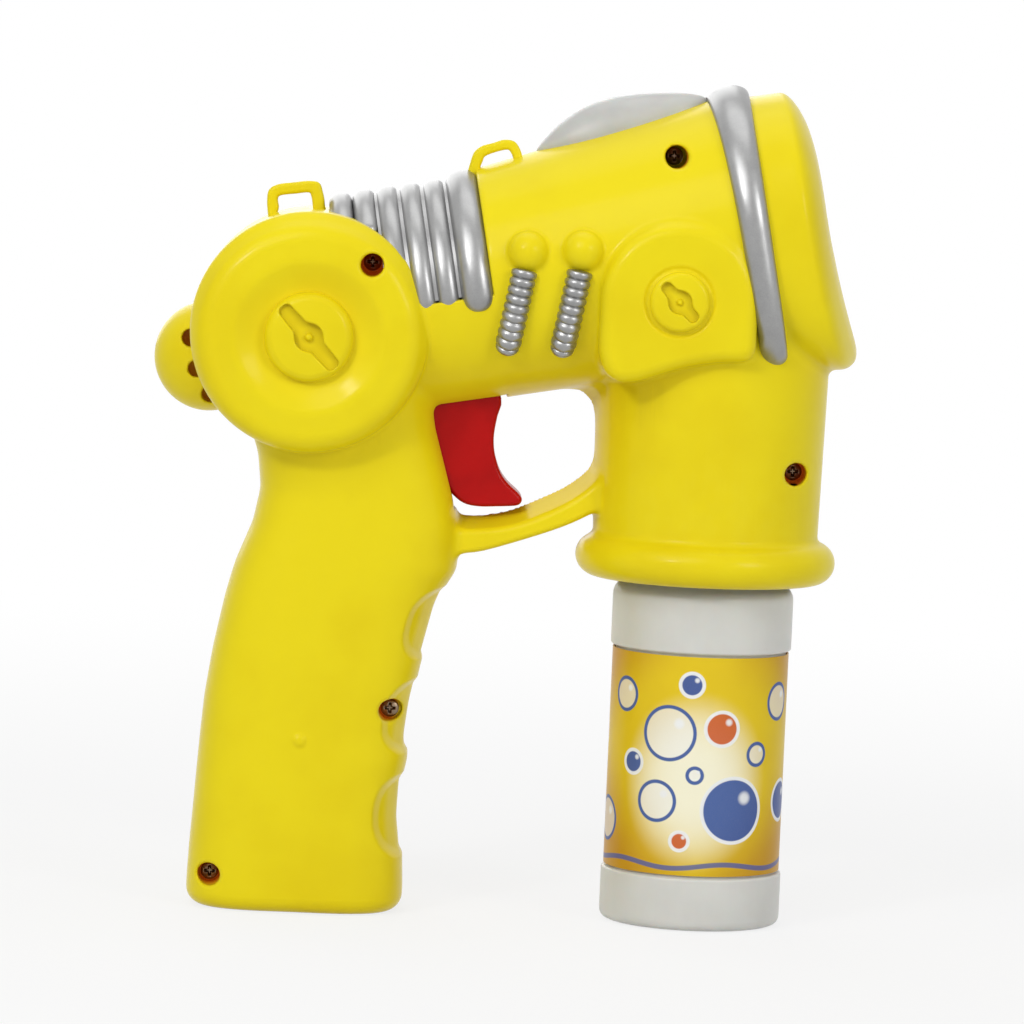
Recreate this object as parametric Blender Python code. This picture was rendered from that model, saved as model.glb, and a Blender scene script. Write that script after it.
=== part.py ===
"""Toy bubble blower: two moulded halves, drum, ribbed neck, horn mouth, bottle, trigger, pump and fan."""
import math

import bmesh
import bpy
import numpy as np
from mathutils import Matrix, Vector

MM = 0.001

# Clearances and walls, in millimetres
GAP = 0.3
WALL = 2.0
PARTING = 0.15

# Barrel: every section lies in a plane leaning back by LEAN from the vertical
LEAN = math.radians(10.4)
NECK_X = -22.3
NECK_Z = 144.0
NECK_R = 25.9
NECK_BASE_R = 22.2
NECK_LENGTH = 36.0
HORN_START = 17.0
HORN_LENGTH = 63.2
HORN_REAR_R = 26.5
HORN_FRONT_R = 30.8
HORN_RISE = 4.5
SNOUT_R = 29.8
SNOUT_LENGTH = 18.1
NOSE_LENGTH = 6.3
MOUTH_RIM_R = 17.6
MOUTH_R = 16.0
MOUTH_DEPTH = 9.0
LIP_DROP = 36.7
LIP_OUT = 3.3
LIP_CURVE = 1.8
SQUARENESS = 2.8

# Rear drum and its discs
DRUM_X = -46.0
DRUM_Z = 134.7
DRUM_R = 28.3
DRUM_HALF = 24.0
DRUM_UP = 1.2
DISC_R = 26.2
DISC_HALF = 29.0
DRUM_CAP_R = 10.4
DRUM_CAP_RISE = 2.6
CAP_SLOT = 2.6
CAP_SLOT_DEPTH = 1.4
REAR_DOME_R = 12.9
REAR_DOME_X = -69.6
REAR_DOME_Z = 127.6
VENT_R = 1.8
VENT_PLACES = [(-74.6, 132.2), (-72.8, 125.2), (-69.8, 119.4)]

# Side plates with their pivot caps
PLATE_X = 38.3
PLATE_Z = 146.4
PLATE_R = 18.0
PLATE_HALF = 32.0
PLATE_DROP = 17.0
PIVOT_CAP_R = 6.9
PIVOT_CAP_RISE = 2.2

# Bottle
BOTTLE_R = 21.15
BOTTLE_WALL = 1.3
BOTTLE_SHOULDER = 81.0
LABEL_SINK = 0.5
LABEL_R = BOTTLE_R - LABEL_SINK
LABEL_T = 0.35
LABEL_LOW = 13.0
LABEL_TOP = 64.0
NECK_MOUTH_R = 12.5
NECK_MOUTH_TOP = 99.0

# Socket over the bottle, with its insert and dip tube
SOCKET_X = 48.4
SOCKET_ROOM = 3.45
SOCKET_WALL = 1.9
SOCKET_FLARE = 0.8
SOCKET_BORE_R = BOTTLE_R + SOCKET_ROOM
SOCKET_LOW_R = SOCKET_BORE_R + SOCKET_WALL
SOCKET_TOP_R = SOCKET_LOW_R + SOCKET_FLARE
SOCKET_TOP = 140.0
FLANGE_Z = 85.9
FLANGE_TUBE = 4.7
FLANGE_PROUD = 3.9
FLANGE_R = SOCKET_LOW_R + FLANGE_PROUD
INSERT_Z = NECK_MOUTH_TOP + 1.5
INSERT_T = 2.0
DIP_R = 2.0
DIP_BORE_R = 1.2
DIP_END = 5.0

# Handle
HANDLE_HALF = 18.3
HANDLE_TOP = 124.0
HANDLE_SQUARE = 3.0
GUARD_HALF = 9.0

# Ribbed sleeve, hoop, rods, balls and light dome
RIB_PITCH = 5.7
RIB_COUNT = 5
RIB_R = 25.4
RIB_VALLEY = 1.7
RIB_WIDTH = 4.3
BIG_RIB_R = 27.0
BIG_RIB_WIDTH = 5.2
HOOP_RISE = 2.4
HOOP_WIDTH = 7.4
HOOP_DEPTH = 1.2
ROD_R = 3.0
BALL_R = 4.8
BALL_SINK = 1.0
BALL_PLACES = [(3.4, 156.2), (16.0, 157.0)]
ROD_PLACES = {"rear": ((2.6, 151.4), (-0.6, 133.2)), "front": ((15.2, 151.8), (12.0, 133.4))}
ROD_PROUD = 0.6
DOME_LENGTH = 41.0
DOME_HALF = 11.0
DOME_WALL = 1.4
DOME_REAR_X = 6.0
LAMP_X = 20.0
LAMP_R = 2.5

# Trigger
TRIGGER_HALF = 6.5
TRIGGER_PIVOT_X = -9.0
TRIGGER_PIVOT_Z = 125.8
TRIGGER_PIN_R = 1.4
TRIGGER_PIN_HALF = 11.5
TRIGGER_BOSS_R = 3.6
SPRING_R = 3.0
SPRING_WIRE = 0.4
SPRING_TURNS = 6
SPRING_Z = 107.0
SPRING_FRONT = -17.4
SPRING_BACK = -29.0

# Batteries, their box and its door, on a line leaning with the handle
BATTERY_LEAN = math.radians(6.0)
BATTERY_X = -45.4
BATTERY_Z = 48.0
BATTERY_R = 7.1
BATTERY_LENGTH = 50.4
BATTERY_Y = 2.4
BOX_WALL = 1.2
BOX_RIM = 5.6
BOX_HALF = 2 * BATTERY_R + 2 * GAP
BOX_BACK = BATTERY_X - BOX_HALF - BOX_WALL
BOX_FRONT = BATTERY_X + BOX_HALF + BOX_WALL
CONTACT_T = 0.5
DOOR_HALF = BOX_HALF + BOX_WALL
DOOR_TOP = BATTERY_LENGTH / 2 + 4.8
DOOR_LOW = -BATTERY_LENGTH / 2 - 10.8
DOOR_SCREW_AT = DOOR_LOW + 4.0

# Case screws: across and up, in the middle plane
SCREW_HEAD_R = 2.1
SCREW_HEAD_H = 1.8
SCREW_R = 1.2
SCREW_SEAT = 6.0
SCREW_END = 8.0
SCREW_BOSS_R = 4.0
GRIP_SCREW_X = BOX_FRONT + SCREW_BOSS_R + 5 * GAP
SCREW_PLACES = [(-32.2, 151.7), (36.6, 179.2), (67.5, 107.1), (GRIP_SCREW_X, 47.9), (-64.4, 8.0)]

# Motor, fan, gears and pump
MOTOR_R = 10.0
MOTOR_FLAT = 7.6
MOTOR_LENGTH = 25.0
SHAFT_R = 1.0
FAN_R = 14.3
FAN_HEIGHT = 6.5
FAN_BLADES = 8
HOUSING_WALL = 1.5
AXLE_SEAT = 3.0
TURN_CLEAR = 0.2
FAN_ROOM = 1.6
GEAR_MODULE = 0.6
PINION_TEETH = 8
GEAR_TEETH = 32
GEAR_FACE = 3.0
PUMP_X = -22.6
PUMP_Z = 139.6
HOSE_R = 1.4
HOSE_BORE_R = 0.9
HOSE_LOOP_R = 7.6
ROLLER_R = 1.8
ROLLER_PIN_R = 0.9
ROLLER_LENGTH = 6.6
ROLLER_ORBIT = 4.0

CA = math.cos(LEAN)
SA = math.sin(LEAN)
OUT = []


def lean_to_world(w, q):
    return w * CA - q * SA, w * SA + q * CA


def world_to_lean(x, z):
    return x * CA + z * SA, -x * SA + z * CA


NECK_W, NECK_Q = world_to_lean(NECK_X, NECK_Z)
HORN_W = NECK_W + HORN_START
HOOP_W = HORN_W + HORN_LENGTH
HOOP_Q = NECK_Q + 0.7 + HORN_RISE
RIM_W = HOOP_W + SNOUT_LENGTH


def round_station(w, qc, r, power):
    """A station with the same reach up, down and to the sides."""
    return (w, qc, r, r, r, power, 0.0)


def barrel_stations(inset, neck_upper, front_r):
    """Stations (w, centre q, half width, up, down, squareness, lip), drawn in by inset."""
    low = NECK_R - inset
    stations = [
        (NECK_W - NECK_LENGTH / 2, NECK_Q, neck_upper, neck_upper, low, 2.0, 0.0),
        (HORN_W - 0.5, NECK_Q, neck_upper, neck_upper, low, 2.0, 0.0),
        round_station(HORN_W + 1.5, NECK_Q + 0.8, HORN_REAR_R - inset, 2.0),
        round_station(HOOP_W - 4.0, HOOP_Q - 0.3, HORN_FRONT_R - inset, SQUARENESS),
        round_station(HOOP_W + 4.0, HOOP_Q, SNOUT_R - inset, SQUARENESS),
    ]
    if front_r is None:
        # The nose rounds in at the top and sides, and runs out into the lip below
        for along, drop, down, power, lip in (
            (0.0, 0.0, 0.91, 2.6, 0.0), (0.38, 0.26, 0.985, 2.4, 0.2), (0.61, 0.51, 1.0, 2.2, 0.44),
            (0.86, 0.81, 0.985, 2.1, 0.64), (1.0, 1.0, 0.94, 2.0, 0.85), (1.0, 1.07, 0.86, 2.0, 1.0),
        ):
            r = SNOUT_R - drop * (SNOUT_R - MOUTH_RIM_R)
            w = RIM_W - NOSE_LENGTH * (1 - along)
            stations.append((w, HOOP_Q, r, r, down * LIP_DROP, power, lip * LIP_OUT))
        stations.append(round_station(RIM_W, HOOP_Q, MOUTH_R + 0.4, 2.0))
    else:
        shoulder = RIM_W - MOUTH_DEPTH
        stations.append(round_station(shoulder - 2.5, HOOP_Q, front_r + 4, 2.2))
        stations.append(round_station(shoulder, HOOP_Q, front_r, 2.0))
        stations.append(round_station(RIM_W + 8.0, HOOP_Q, front_r, 2.0))
    return stations


def section(station, count):
    """One barrel section as world points: round above, squarer below, its bottom pushed out by lip."""
    w, qc, half, up, down, power, lip = station
    points = []
    for k in range(count):
        angle = 2 * math.pi * k / count
        c, s = math.cos(angle), math.sin(angle)
        e = 1.0 if s >= 0 else 2.0 / power
        y = half * math.copysign(abs(c) ** e, c)
        q = (up if s >= 0 else down) * math.copysign(abs(s) ** e, s)
        x, z = lean_to_world(w + lip * max(0.0, -s) ** LIP_CURVE, qc + q)
        points.append((x, y, z))
    return points


def barrel_half_width(x, z):
    """Half width of the barrel's outside at a place in the middle plane."""
    w, q = world_to_lean(x, z)
    rows = np.array(barrel_stations(0.0, NECK_R, None))
    qc, half, up, down, power = (float(np.interp(w, rows[:, 0], rows[:, k])) for k in range(1, 6))
    q -= qc
    if q >= 0:
        return half * math.sqrt(max(0.0, 1 - (q / up) ** 2))
    return half * max(0.0, 1 - (-q / down) ** power) ** (1 / power)


def crest_height(x):
    """Height of the barrel's top line at x."""
    rows = [lean_to_world(s[0], s[1] + s[3]) for s in barrel_stations(0.0, NECK_R, None)]
    return float(np.interp(x, [r[0] for r in rows], [r[1] for r in rows]))


def mesh_object(name, bm):
    bmesh.ops.recalc_face_normals(bm, faces=bm.faces[:])
    bmesh.ops.scale(bm, vec=(MM, MM, MM), verts=bm.verts[:])
    mesh = bpy.data.meshes.new(name)
    bm.to_mesh(mesh)
    bm.free()
    ob = bpy.data.objects.new(name, mesh)
    bpy.context.scene.collection.objects.link(ob)
    return ob


def loft(rings, name="loft"):
    bm = bmesh.new()
    rows = [[bm.verts.new(p) for p in ring] for ring in rings]
    n = len(rings[0])
    for a, b in zip(rows, rows[1:]):
        for k in range(n):
            bm.faces.new((a[k], a[(k + 1) % n], b[(k + 1) % n], b[k]))
    bm.faces.new(rows[0][::-1])
    bm.faces.new(rows[-1])
    return mesh_object(name, bm)


def prism(outline, y0, y1, bevel=0.0, segments=2, name="prism"):
    """An outline of (x, z) points carried along Y, with its rims rounded by bevel."""
    bm = bmesh.new()
    low = [bm.verts.new((x, y0, z)) for x, z in outline]
    high = [bm.verts.new((x, y1, z)) for x, z in outline]
    n = len(outline)
    bm.faces.new(low)
    bm.faces.new(high[::-1])
    for k in range(n):
        bm.faces.new((low[k], high[k], high[(k + 1) % n], low[(k + 1) % n]))
    bmesh.ops.recalc_face_normals(bm, faces=bm.faces[:])
    if bevel > 0:
        rims = [e for e in bm.edges if abs(e.verts[0].co.y - e.verts[1].co.y) < 1e-6]
        bmesh.ops.bevel(bm, geom=rims, offset=bevel, segments=segments, profile=0.5, affect="EDGES")
    return mesh_object(name, bm)


def disc(x, z, r, y0, y1, steps=24, bevel=0.0, segments=2, name="disc"):
    angles = [2 * math.pi * k / steps for k in range(steps)]
    return prism([(x + r * math.cos(a), z + r * math.sin(a)) for a in angles], y0, y1, bevel, segments,
                 name)


def turned(profile, base, direction, steps, name="turned"):
    """A closed (radius, along) profile turned about an axis; points on the axis close to a pole."""
    axis = Vector(direction).normalized()
    turn = Vector((0, 0, 1)).rotation_difference(axis).to_matrix().to_4x4()
    place = Matrix.Translation(Vector(base)) @ turn
    bm = bmesh.new()
    rows = []
    for r, h in profile:
        if r < 1e-6:
            rows.append([bm.verts.new((0, 0, h))])
            continue
        angles = [2 * math.pi * k / steps for k in range(steps)]
        rows.append([bm.verts.new((r * math.cos(a), r * math.sin(a), h)) for a in angles])
    pairs = list(zip(rows, rows[1:] + rows[:1]))
    for a, b in pairs:
        for k in range(steps):
            j = (k + 1) % steps
            if len(a) == 1 and len(b) == 1:
                break
            if len(a) == 1:
                bm.faces.new((a[0], b[j], b[k]))
            elif len(b) == 1:
                bm.faces.new((a[k], a[j], b[0]))
            else:
                bm.faces.new((a[k], a[j], b[j], b[k]))
    bmesh.ops.transform(bm, matrix=place, verts=bm.verts[:])
    return mesh_object(name, bm)


def rod(r, start, end, steps=12, name="rod"):
    start, end = Vector(start), Vector(end)
    length = (end - start).length
    return turned([(0, 0), (r, 0), (r, length), (0, length)], start, end - start, steps, name)


def ring(inner, outer, start, end, steps=24, name="ring"):
    start, end = Vector(start), Vector(end)
    length = (end - start).length
    profile = [(inner, 0), (outer, 0), (outer, length), (inner, length)]
    return turned(profile, start, end - start, steps, name)


def box(x0, x1, y0, y1, z0, z1, name="box"):
    return prism([(x0, z0), (x1, z0), (x1, z1), (x0, z1)], y0, y1, name=name)


def ball(x, y, z, r, steps=12, name="ball"):
    count = steps // 2
    profile = [(r * math.sin(math.pi * k / count),
                -r * math.cos(math.pi * k / count)) for k in range(count + 1)]
    profile[0] = (0, -r)
    profile[-1] = (0, r)
    return turned(profile, (x, y, z), (0, 1, 0), steps, name)


def smooth_route(points, per_span):
    """Points along a smooth curve through the given ones."""
    pts = [Vector(p) for p in points]
    pts = [2 * pts[0] - pts[1]] + pts + [2 * pts[-1] - pts[-2]]
    route = []
    for a, b, c, d in zip(pts, pts[1:], pts[2:], pts[3:]):
        for k in range(per_span):
            t = k / per_span
            route.append(0.5 * (2 * b + (c - a) * t + (2 * a - 5 * b + 4 * c - d) * t * t
                                + (3 * b - a - 3 * c + d) * t ** 3))
    route.append(pts[-2])
    return route


def tube(points, r, resolution=2, name="tube"):
    curve = bpy.data.curves.new(name, "CURVE")
    curve.dimensions = "3D"
    curve.bevel_depth = r * MM
    curve.bevel_resolution = resolution
    curve.use_fill_caps = True
    spline = curve.splines.new("POLY")
    spline.points.add(len(points) - 1)
    for point, place in zip(spline.points, points):
        point.co = (place[0] * MM, place[1] * MM, place[2] * MM, 1.0)
    ob = bpy.data.objects.new(name, curve)
    bpy.context.scene.collection.objects.link(ob)
    bpy.context.view_layer.update()
    mesh = bpy.data.meshes.new_from_object(ob.evaluated_get(bpy.context.evaluated_depsgraph_get()))
    bpy.data.objects.remove(ob)
    bm = bmesh.new()
    bm.from_mesh(mesh)
    bmesh.ops.remove_doubles(bm, verts=bm.verts[:], dist=1e-7)
    bmesh.ops.recalc_face_normals(bm, faces=bm.faces[:])
    bm.to_mesh(mesh)
    bm.free()
    ob = bpy.data.objects.new(name, mesh)
    bpy.context.scene.collection.objects.link(ob)
    return ob


def open_edges(mesh):
    bm = bmesh.new()
    bm.from_mesh(mesh)
    count = sum(not e.is_manifold for e in bm.edges)
    bm.free()
    return count


def combine(target, others, operation, solvers=("EXACT", "MANIFOLD")):
    """Boolean of target with others, applied; the others are used up."""
    for other in others:
        modifier = target.modifiers.new("cut", "BOOLEAN")
        modifier.operation = operation
        modifier.object = other
        for solver in solvers:
            modifier.solver = solver
            bpy.context.view_layer.update()
            graph = bpy.context.evaluated_depsgraph_get()
            mesh = bpy.data.meshes.new_from_object(target.evaluated_get(graph))
            if mesh.polygons and not open_edges(mesh):
                break
        target.modifiers.clear()
        target.data = mesh
        bpy.data.objects.remove(other)
    return target


def join(target, *others):
    return combine(target, others, "UNION")


def cut(target, *others):
    return combine(target, others, "DIFFERENCE")


def keep(target, *others):
    return combine(target, others, "INTERSECT")


def shell_join(target, *others):
    """Union on the many-sided shells, where the exact solver leaves open edges."""
    return combine(target, others, "UNION", ("MANIFOLD",))


def shell_cut(target, *others):
    return combine(target, others, "DIFFERENCE", ("MANIFOLD",))


def copy_of(ob):
    other = bpy.data.objects.new(ob.name + "_copy", ob.data.copy())
    bpy.context.scene.collection.objects.link(other)
    return other


def tidy(ob):
    """Merges the flat scraps that the cuts leave, where the piece stays closed."""
    for angle in (0.3, 0.02, None):
        bm = bmesh.new()
        bm.from_mesh(ob.data)
        if angle is not None:
            bmesh.ops.dissolve_limit(bm, angle_limit=math.radians(angle), verts=bm.verts[:],
                                     edges=bm.edges[:])
        bmesh.ops.triangulate(bm, faces=bm.faces[:])
        bmesh.ops.remove_doubles(bm, verts=bm.verts[:], dist=1e-6)
        bmesh.ops.dissolve_degenerate(bm, dist=1e-6, edges=bm.edges[:])
        sound = all(e.is_manifold for e in bm.edges)
        if sound:
            bm.to_mesh(ob.data)
        bm.free()
        if sound:
            break
    return ob


def largest(ob):
    """Keeps the largest loose piece and drops the chips that a cut leaves."""
    bm = bmesh.new()
    bm.from_mesh(ob.data)
    left_over = set(bm.verts)
    groups = []
    while left_over:
        group = set()
        front = [left_over.pop()]
        while front:
            vert = front.pop()
            group.add(vert)
            for edge in vert.link_edges:
                other = edge.other_vert(vert)
                if other in left_over:
                    left_over.discard(other)
                    front.append(other)
        groups.append(group)
    groups.sort(key=len)
    bmesh.ops.delete(bm, geom=[v for group in groups[:-1] for v in group], context="VERTS")
    bm.to_mesh(ob.data)
    bm.free()
    return ob


def material(name, colour, roughness, metallic=0.0):
    mat = bpy.data.materials.get(name)
    if mat is None:
        mat = bpy.data.materials.new(name)
        mat.use_nodes = True
        shader = mat.node_tree.nodes["Principled BSDF"]
        shader.inputs["Base Color"].default_value = (*colour, 1.0)
        shader.inputs["Roughness"].default_value = roughness
        shader.inputs["Metallic"].default_value = metallic
    return mat


def finish(ob, name, mat, origin=None):
    """Names the piece, gives it its material, and puts its origin on its joint axis."""
    ob.name = name
    ob.data.name = name
    ob.data.materials.clear()
    ob.data.materials.append(mat)
    for polygon in ob.data.polygons:
        polygon.material_index = 0
        polygon.use_smooth = True
    ob.data.set_sharp_from_angle(angle=math.radians(35))
    if origin is not None:
        shift = Vector(origin) * MM
        ob.data.transform(Matrix.Translation(-shift))
        ob.location = shift
    OUT.append(ob)
    return ob


def arc(x, z, r, a0, a1, count):
    return [(x + r * math.cos(math.radians(a0 + (a1 - a0) * k / count)),
             z + r * math.sin(math.radians(a0 + (a1 - a0) * k / count))) for k in range(count + 1)]


for old in list(bpy.data.objects):
    bpy.data.objects.remove(old)

YELLOW = material("yellow_plastic", (0.80, 0.62, 0.02), 0.3)
SILVER = material("silver_plastic", (0.45, 0.45, 0.46), 0.35, 0.6)
RED = material("red_plastic", (0.42, 0.01, 0.01), 0.35)
FROST = material("frosted_plastic", (0.75, 0.75, 0.72), 0.4)
WHITE = material("white_plastic", (0.70, 0.70, 0.68), 0.4)
PRINT = material("printed_film", (0.85, 0.55, 0.05), 0.35)
STEEL = material("steel", (0.55, 0.55, 0.56), 0.3, 1.0)
NYLON = material("nylon", (0.72, 0.71, 0.66), 0.5)
BLACK = material("black_plastic", (0.03, 0.03, 0.03), 0.5)
HOSE = material("clear_hose", (0.65, 0.68, 0.66), 0.35)
RUBBER = material("rubber", (0.05, 0.05, 0.05), 0.7)
BRASS = material("brass", (0.60, 0.44, 0.16), 0.35, 1.0)
BOARD = material("circuit_board", (0.03, 0.16, 0.06), 0.5)
CELL = material("battery_wrap", (0.10, 0.10, 0.11), 0.4)


def barrel_form(grow, neck_upper, front_r, count=28):
    return loft([section(s, count) for s in barrel_stations(-grow, neck_upper, front_r)])


def handle_form(inset, count=20):
    """The grip: sections (height, reach behind and before the battery box, extra half width)."""
    rows = [(0.0, 6.2, 8.4, -1.9), (1.6, 8.0, 10.0, -0.5), (6.0, 8.5, 10.2, 0.0),
            (14.0, 8.2, 9.8, 0.0), (22.0, 7.7, 8.6, 0.0), (31.0, 7.2, 9.0, 0.0),
            (36.0, 6.9, 10.2, 0.0), (41.0, 6.6, 9.5, 0.0), (49.0, 6.0, 10.6, 0.0),
            (60.0, 4.5, 12.7, 0.0), (72.0, 2.2, 15.6, 0.0), (82.0, -0.4, 19.5, 0.0),
            (90.0, -3.1, 19.8, 0.0), (98.0, -4.3, 18.4, 0.0), (106.0, -3.4, 16.0, 0.6),
            (114.0, -0.4, 13.6, 1.4), (HANDLE_TOP, 0.6, 11.4, 2.0)]
    rings = []
    for z, behind, before, wide in rows:
        back, front = BOX_BACK - behind, BOX_FRONT + before
        if inset and z < 5:
            continue
        cx, half = (back + front) / 2, (front - back) / 2 - inset
        points = []
        for k in range(count):
            a = 2 * math.pi * k / count
            c, s = math.cos(a), math.sin(a)
            points.append((cx + half * math.copysign(abs(c) ** (2 / HANDLE_SQUARE), c),
                           (HANDLE_HALF + wide - inset) * math.copysign(abs(s) ** (2 / HANDLE_SQUARE), s),
                           z))
        rings.append(points)
    if inset:
        rings[0] = [(x, y, inset) for x, y, _ in rings[0]]
    return loft(rings)


def slot_bar(x, z, r, y0, y1):
    """A bar across a cap, from upper rear to lower front, with a round middle."""
    d = Vector((math.cos(math.radians(-47)), 0, math.sin(math.radians(-47))))
    n = Vector((-d.z, 0, d.x))
    c = Vector((x, 0, z))
    w = CAP_SLOT / 2
    corners = [c - d * r - n * w, c + d * r - n * w, c + d * r + n * w, c - d * r + n * w]
    return prism([(p.x, p.z) for p in corners], y0, y1)


# Outer body of both halves together
body = disc(DRUM_X, DRUM_Z + DRUM_UP, DRUM_R, -DRUM_HALF, DRUM_HALF, 36, 2.5)
barrel = barrel_form(0.0, NECK_R, None)
neck_start = NECK_W - NECK_LENGTH / 2
NECK_END = HORN_W + 1.2


def neck_wrap(profile, start_deg, end_deg, steps):
    """A closed (radius, w) profile turned part way round the neck axis."""
    rings = []
    for k in range(steps + 1):
        a = math.radians(start_deg + (end_deg - start_deg) * k / steps)
        points = []
        for r, w in profile:
            x, z = lean_to_world(w, NECK_Q + r * math.sin(a))
            points.append((x, r * math.cos(a), z))
        rings.append(points)
    return loft(rings)


wrap_zone = [(NECK_BASE_R, neck_start - 3), (NECK_R + 12, neck_start - 3), (NECK_R + 12, NECK_END),
             (NECK_BASE_R, NECK_END)]
shell_cut(barrel, neck_wrap(wrap_zone, -4, 184, 24))
SOCKET_PROFILE = [(0, SOCKET_TOP), (SOCKET_TOP_R, SOCKET_TOP), (SOCKET_TOP_R, 128.0),
                  (SOCKET_LOW_R, FLANGE_Z + FLANGE_TUBE)]
flange_mid = FLANGE_R - FLANGE_TUBE
for step in range(1, 7):
    a = math.radians(90 - step * 30)
    SOCKET_PROFILE.append((flange_mid + FLANGE_TUBE * math.cos(a), FLANGE_Z + FLANGE_TUBE * math.sin(a)))
SOCKET_PROFILE.append((0, FLANGE_Z - FLANGE_TUBE))
socket = turned(SOCKET_PROFILE, (SOCKET_X, 0, 0), (0, 0, 1), 32)
guard_outline = [(-16.0, 82.0), (-9.0, 84.0), (-3.6, 84.7), (5.9, 87.8), (14.4, 91.0), (20.6, 94.1),
                 (27.0, 98.0),
                 (27.0, 128.0), (12.0, 124.5), (16.6, 122.8), (19.4, 120.0), (20.9, 116.5), (21.3, 112.6),
                 (20.6, 108.6), (18.2, 104.6), (13.8, 100.3), (8.4, 96.6), (2.0, 94.0), (-6.0, 92.4),
                 (-16.0, 92.0)]
guard = prism(guard_outline, -GUARD_HALF, GUARD_HALF, 2.4)
plate_low = PLATE_Z - PLATE_DROP
plate_outline = (arc(PLATE_X, PLATE_Z, PLATE_R, 0, 180, 16)
                 + [(PLATE_X - PLATE_R - 0.2, plate_low + 1), (PLATE_X - 12.5, plate_low - 2.5),
                    (PLATE_X + 2.0, plate_low + 2.5), (PLATE_X + PLATE_R, plate_low + 4.5)])
plate = prism(plate_outline, -PLATE_HALF, PLATE_HALF, 1.8)
shell_join(body, disc(DRUM_X, DRUM_Z, DISC_R, -DISC_HALF, DISC_HALF, 36, 2.2), barrel, handle_form(0.0),
           socket, guard, plate, ball(REAR_DOME_X, 0, REAR_DOME_Z, REAR_DOME_R, 20))
for side in (-1, 1):
    outer = side * (DISC_HALF + DRUM_CAP_RISE)
    cap = disc(DRUM_X, DRUM_Z, DRUM_CAP_R, *sorted((side * (DISC_HALF - 1.0), outer)), 22, 1.2)
    cut(cap, slot_bar(DRUM_X, DRUM_Z, DRUM_CAP_R - 1.8, *sorted((outer - side * CAP_SLOT_DEPTH,
                                                                 outer + side))))
    outer = side * (PLATE_HALF + PIVOT_CAP_RISE)
    pivot = disc(PLATE_X, PLATE_Z, PIVOT_CAP_R, *sorted((side * (PLATE_HALF - 1.0), outer)), 18, 0.8, 1)
    cut(pivot, slot_bar(PLATE_X, PLATE_Z, PIVOT_CAP_R - 1.4,
                        *sorted((outer - side * CAP_SLOT_DEPTH, outer + side))))
    shell_join(body, cap, pivot)
    for x, z in BALL_PLACES:
        shell_join(body, ball(x, side * (barrel_half_width(x, z) - BALL_SINK), z, BALL_R))

# Hollow of both halves


def hollow_form(inset):
    """The space inside the halves, drawn in from their outside by inset."""
    space = barrel_form(-inset, NECK_BASE_R - inset, MOUTH_R + WALL - inset, 22)
    return shell_join(
        space, disc(DRUM_X, DRUM_Z + DRUM_UP, DRUM_R - inset, inset - DRUM_HALF, DRUM_HALF - inset, 24),
        disc(DRUM_X, DRUM_Z, DISC_R - inset, inset - DISC_HALF, DISC_HALF - inset, 24),
        handle_form(inset, 16),
        rod(SOCKET_BORE_R + WALL - inset, (SOCKET_X, 0, FLANGE_Z - FLANGE_TUBE - 1),
            (SOCKET_X, 0, SOCKET_TOP - 6), 32),
        ball(REAR_DOME_X, 0, REAR_DOME_Z, REAR_DOME_R - inset, 14))


inside = hollow_form(WALL)
skin = hollow_form(WALL / 2)
shell_cut(body, copy_of(inside))

# Through cuts: trigger way, hoop seat, vents, lamp hole
SLOT_HALF = TRIGGER_HALF + GAP
shell_cut(body, box(-24.0, 0.2, -SLOT_HALF, SLOT_HALF, 95.0, 131.0))


def hoop_form(gap):
    """The hoop follows the horn's section, raised above it, and stops short of the bottom on both sides."""
    rows = []
    half = HOOP_WIDTH / 2 + gap
    for w in (HOOP_W - half, HOOP_W + half):
        for r in (HORN_FRONT_R - HOOP_DEPTH - gap, HORN_FRONT_R + HOOP_RISE + gap):
            rows.append((w, r))
    order = [rows[0], rows[1], rows[3], rows[2]]
    rings = []
    stop = 62 + math.degrees(gap / HORN_FRONT_R)
    for k in range(29):
        a = math.radians(-stop + (180 + 2 * stop) * k / 28)
        c, s = math.cos(a), math.sin(a)
        e = 1.0 if s >= 0 else 2.0 / SQUARENESS
        points = []
        for w, r in order:
            x, z = lean_to_world(w, HOOP_Q + r * math.copysign(abs(s) ** e, s))
            points.append((x, r * math.copysign(abs(c) ** e, c), z))
        rings.append(points)
    return loft(rings)


shell_cut(body, hoop_form(GAP))
for x, z in VENT_PLACES:
    for side in (-1, 1):
        shell_cut(body, rod(VENT_R, (x, side * 4.0, z), (x, side * 16.0, z), 10))
crest_angle = math.atan2(crest_height(34.0) - crest_height(8.0), 26.0)
lamp_axis = Vector((-math.sin(crest_angle), 0, math.cos(crest_angle)))
lamp_foot = Vector((LAMP_X, 0, crest_height(LAMP_X)))
shell_cut(body, rod(LAMP_R + GAP, lamp_foot - lamp_axis * 6, lamp_foot + lamp_axis * 6, 16))

# Split on the middle plane
right = body
left = copy_of(body)
shell_cut(right, box(-120, 120, -PARTING, 90, -20, 240))
shell_cut(left, box(-120, 120, -90, PARTING, -20, 240))


def local(lx, lz):
    """A place along the leaning battery line, as (x, z)."""
    c, s = math.cos(BATTERY_LEAN), math.sin(BATTERY_LEAN)
    return BATTERY_X + lx * c + lz * s, BATTERY_Z - lx * s + lz * c


def local_box(lx0, lx1, y0, y1, lz0, lz1):
    return prism([local(lx0, lz0), local(lx1, lz0), local(lx1, lz1), local(lx0, lz1)], y0, y1)


def gear_angle(a, b):
    return math.atan2(b[1] - a[1], b[0] - a[0])


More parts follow.
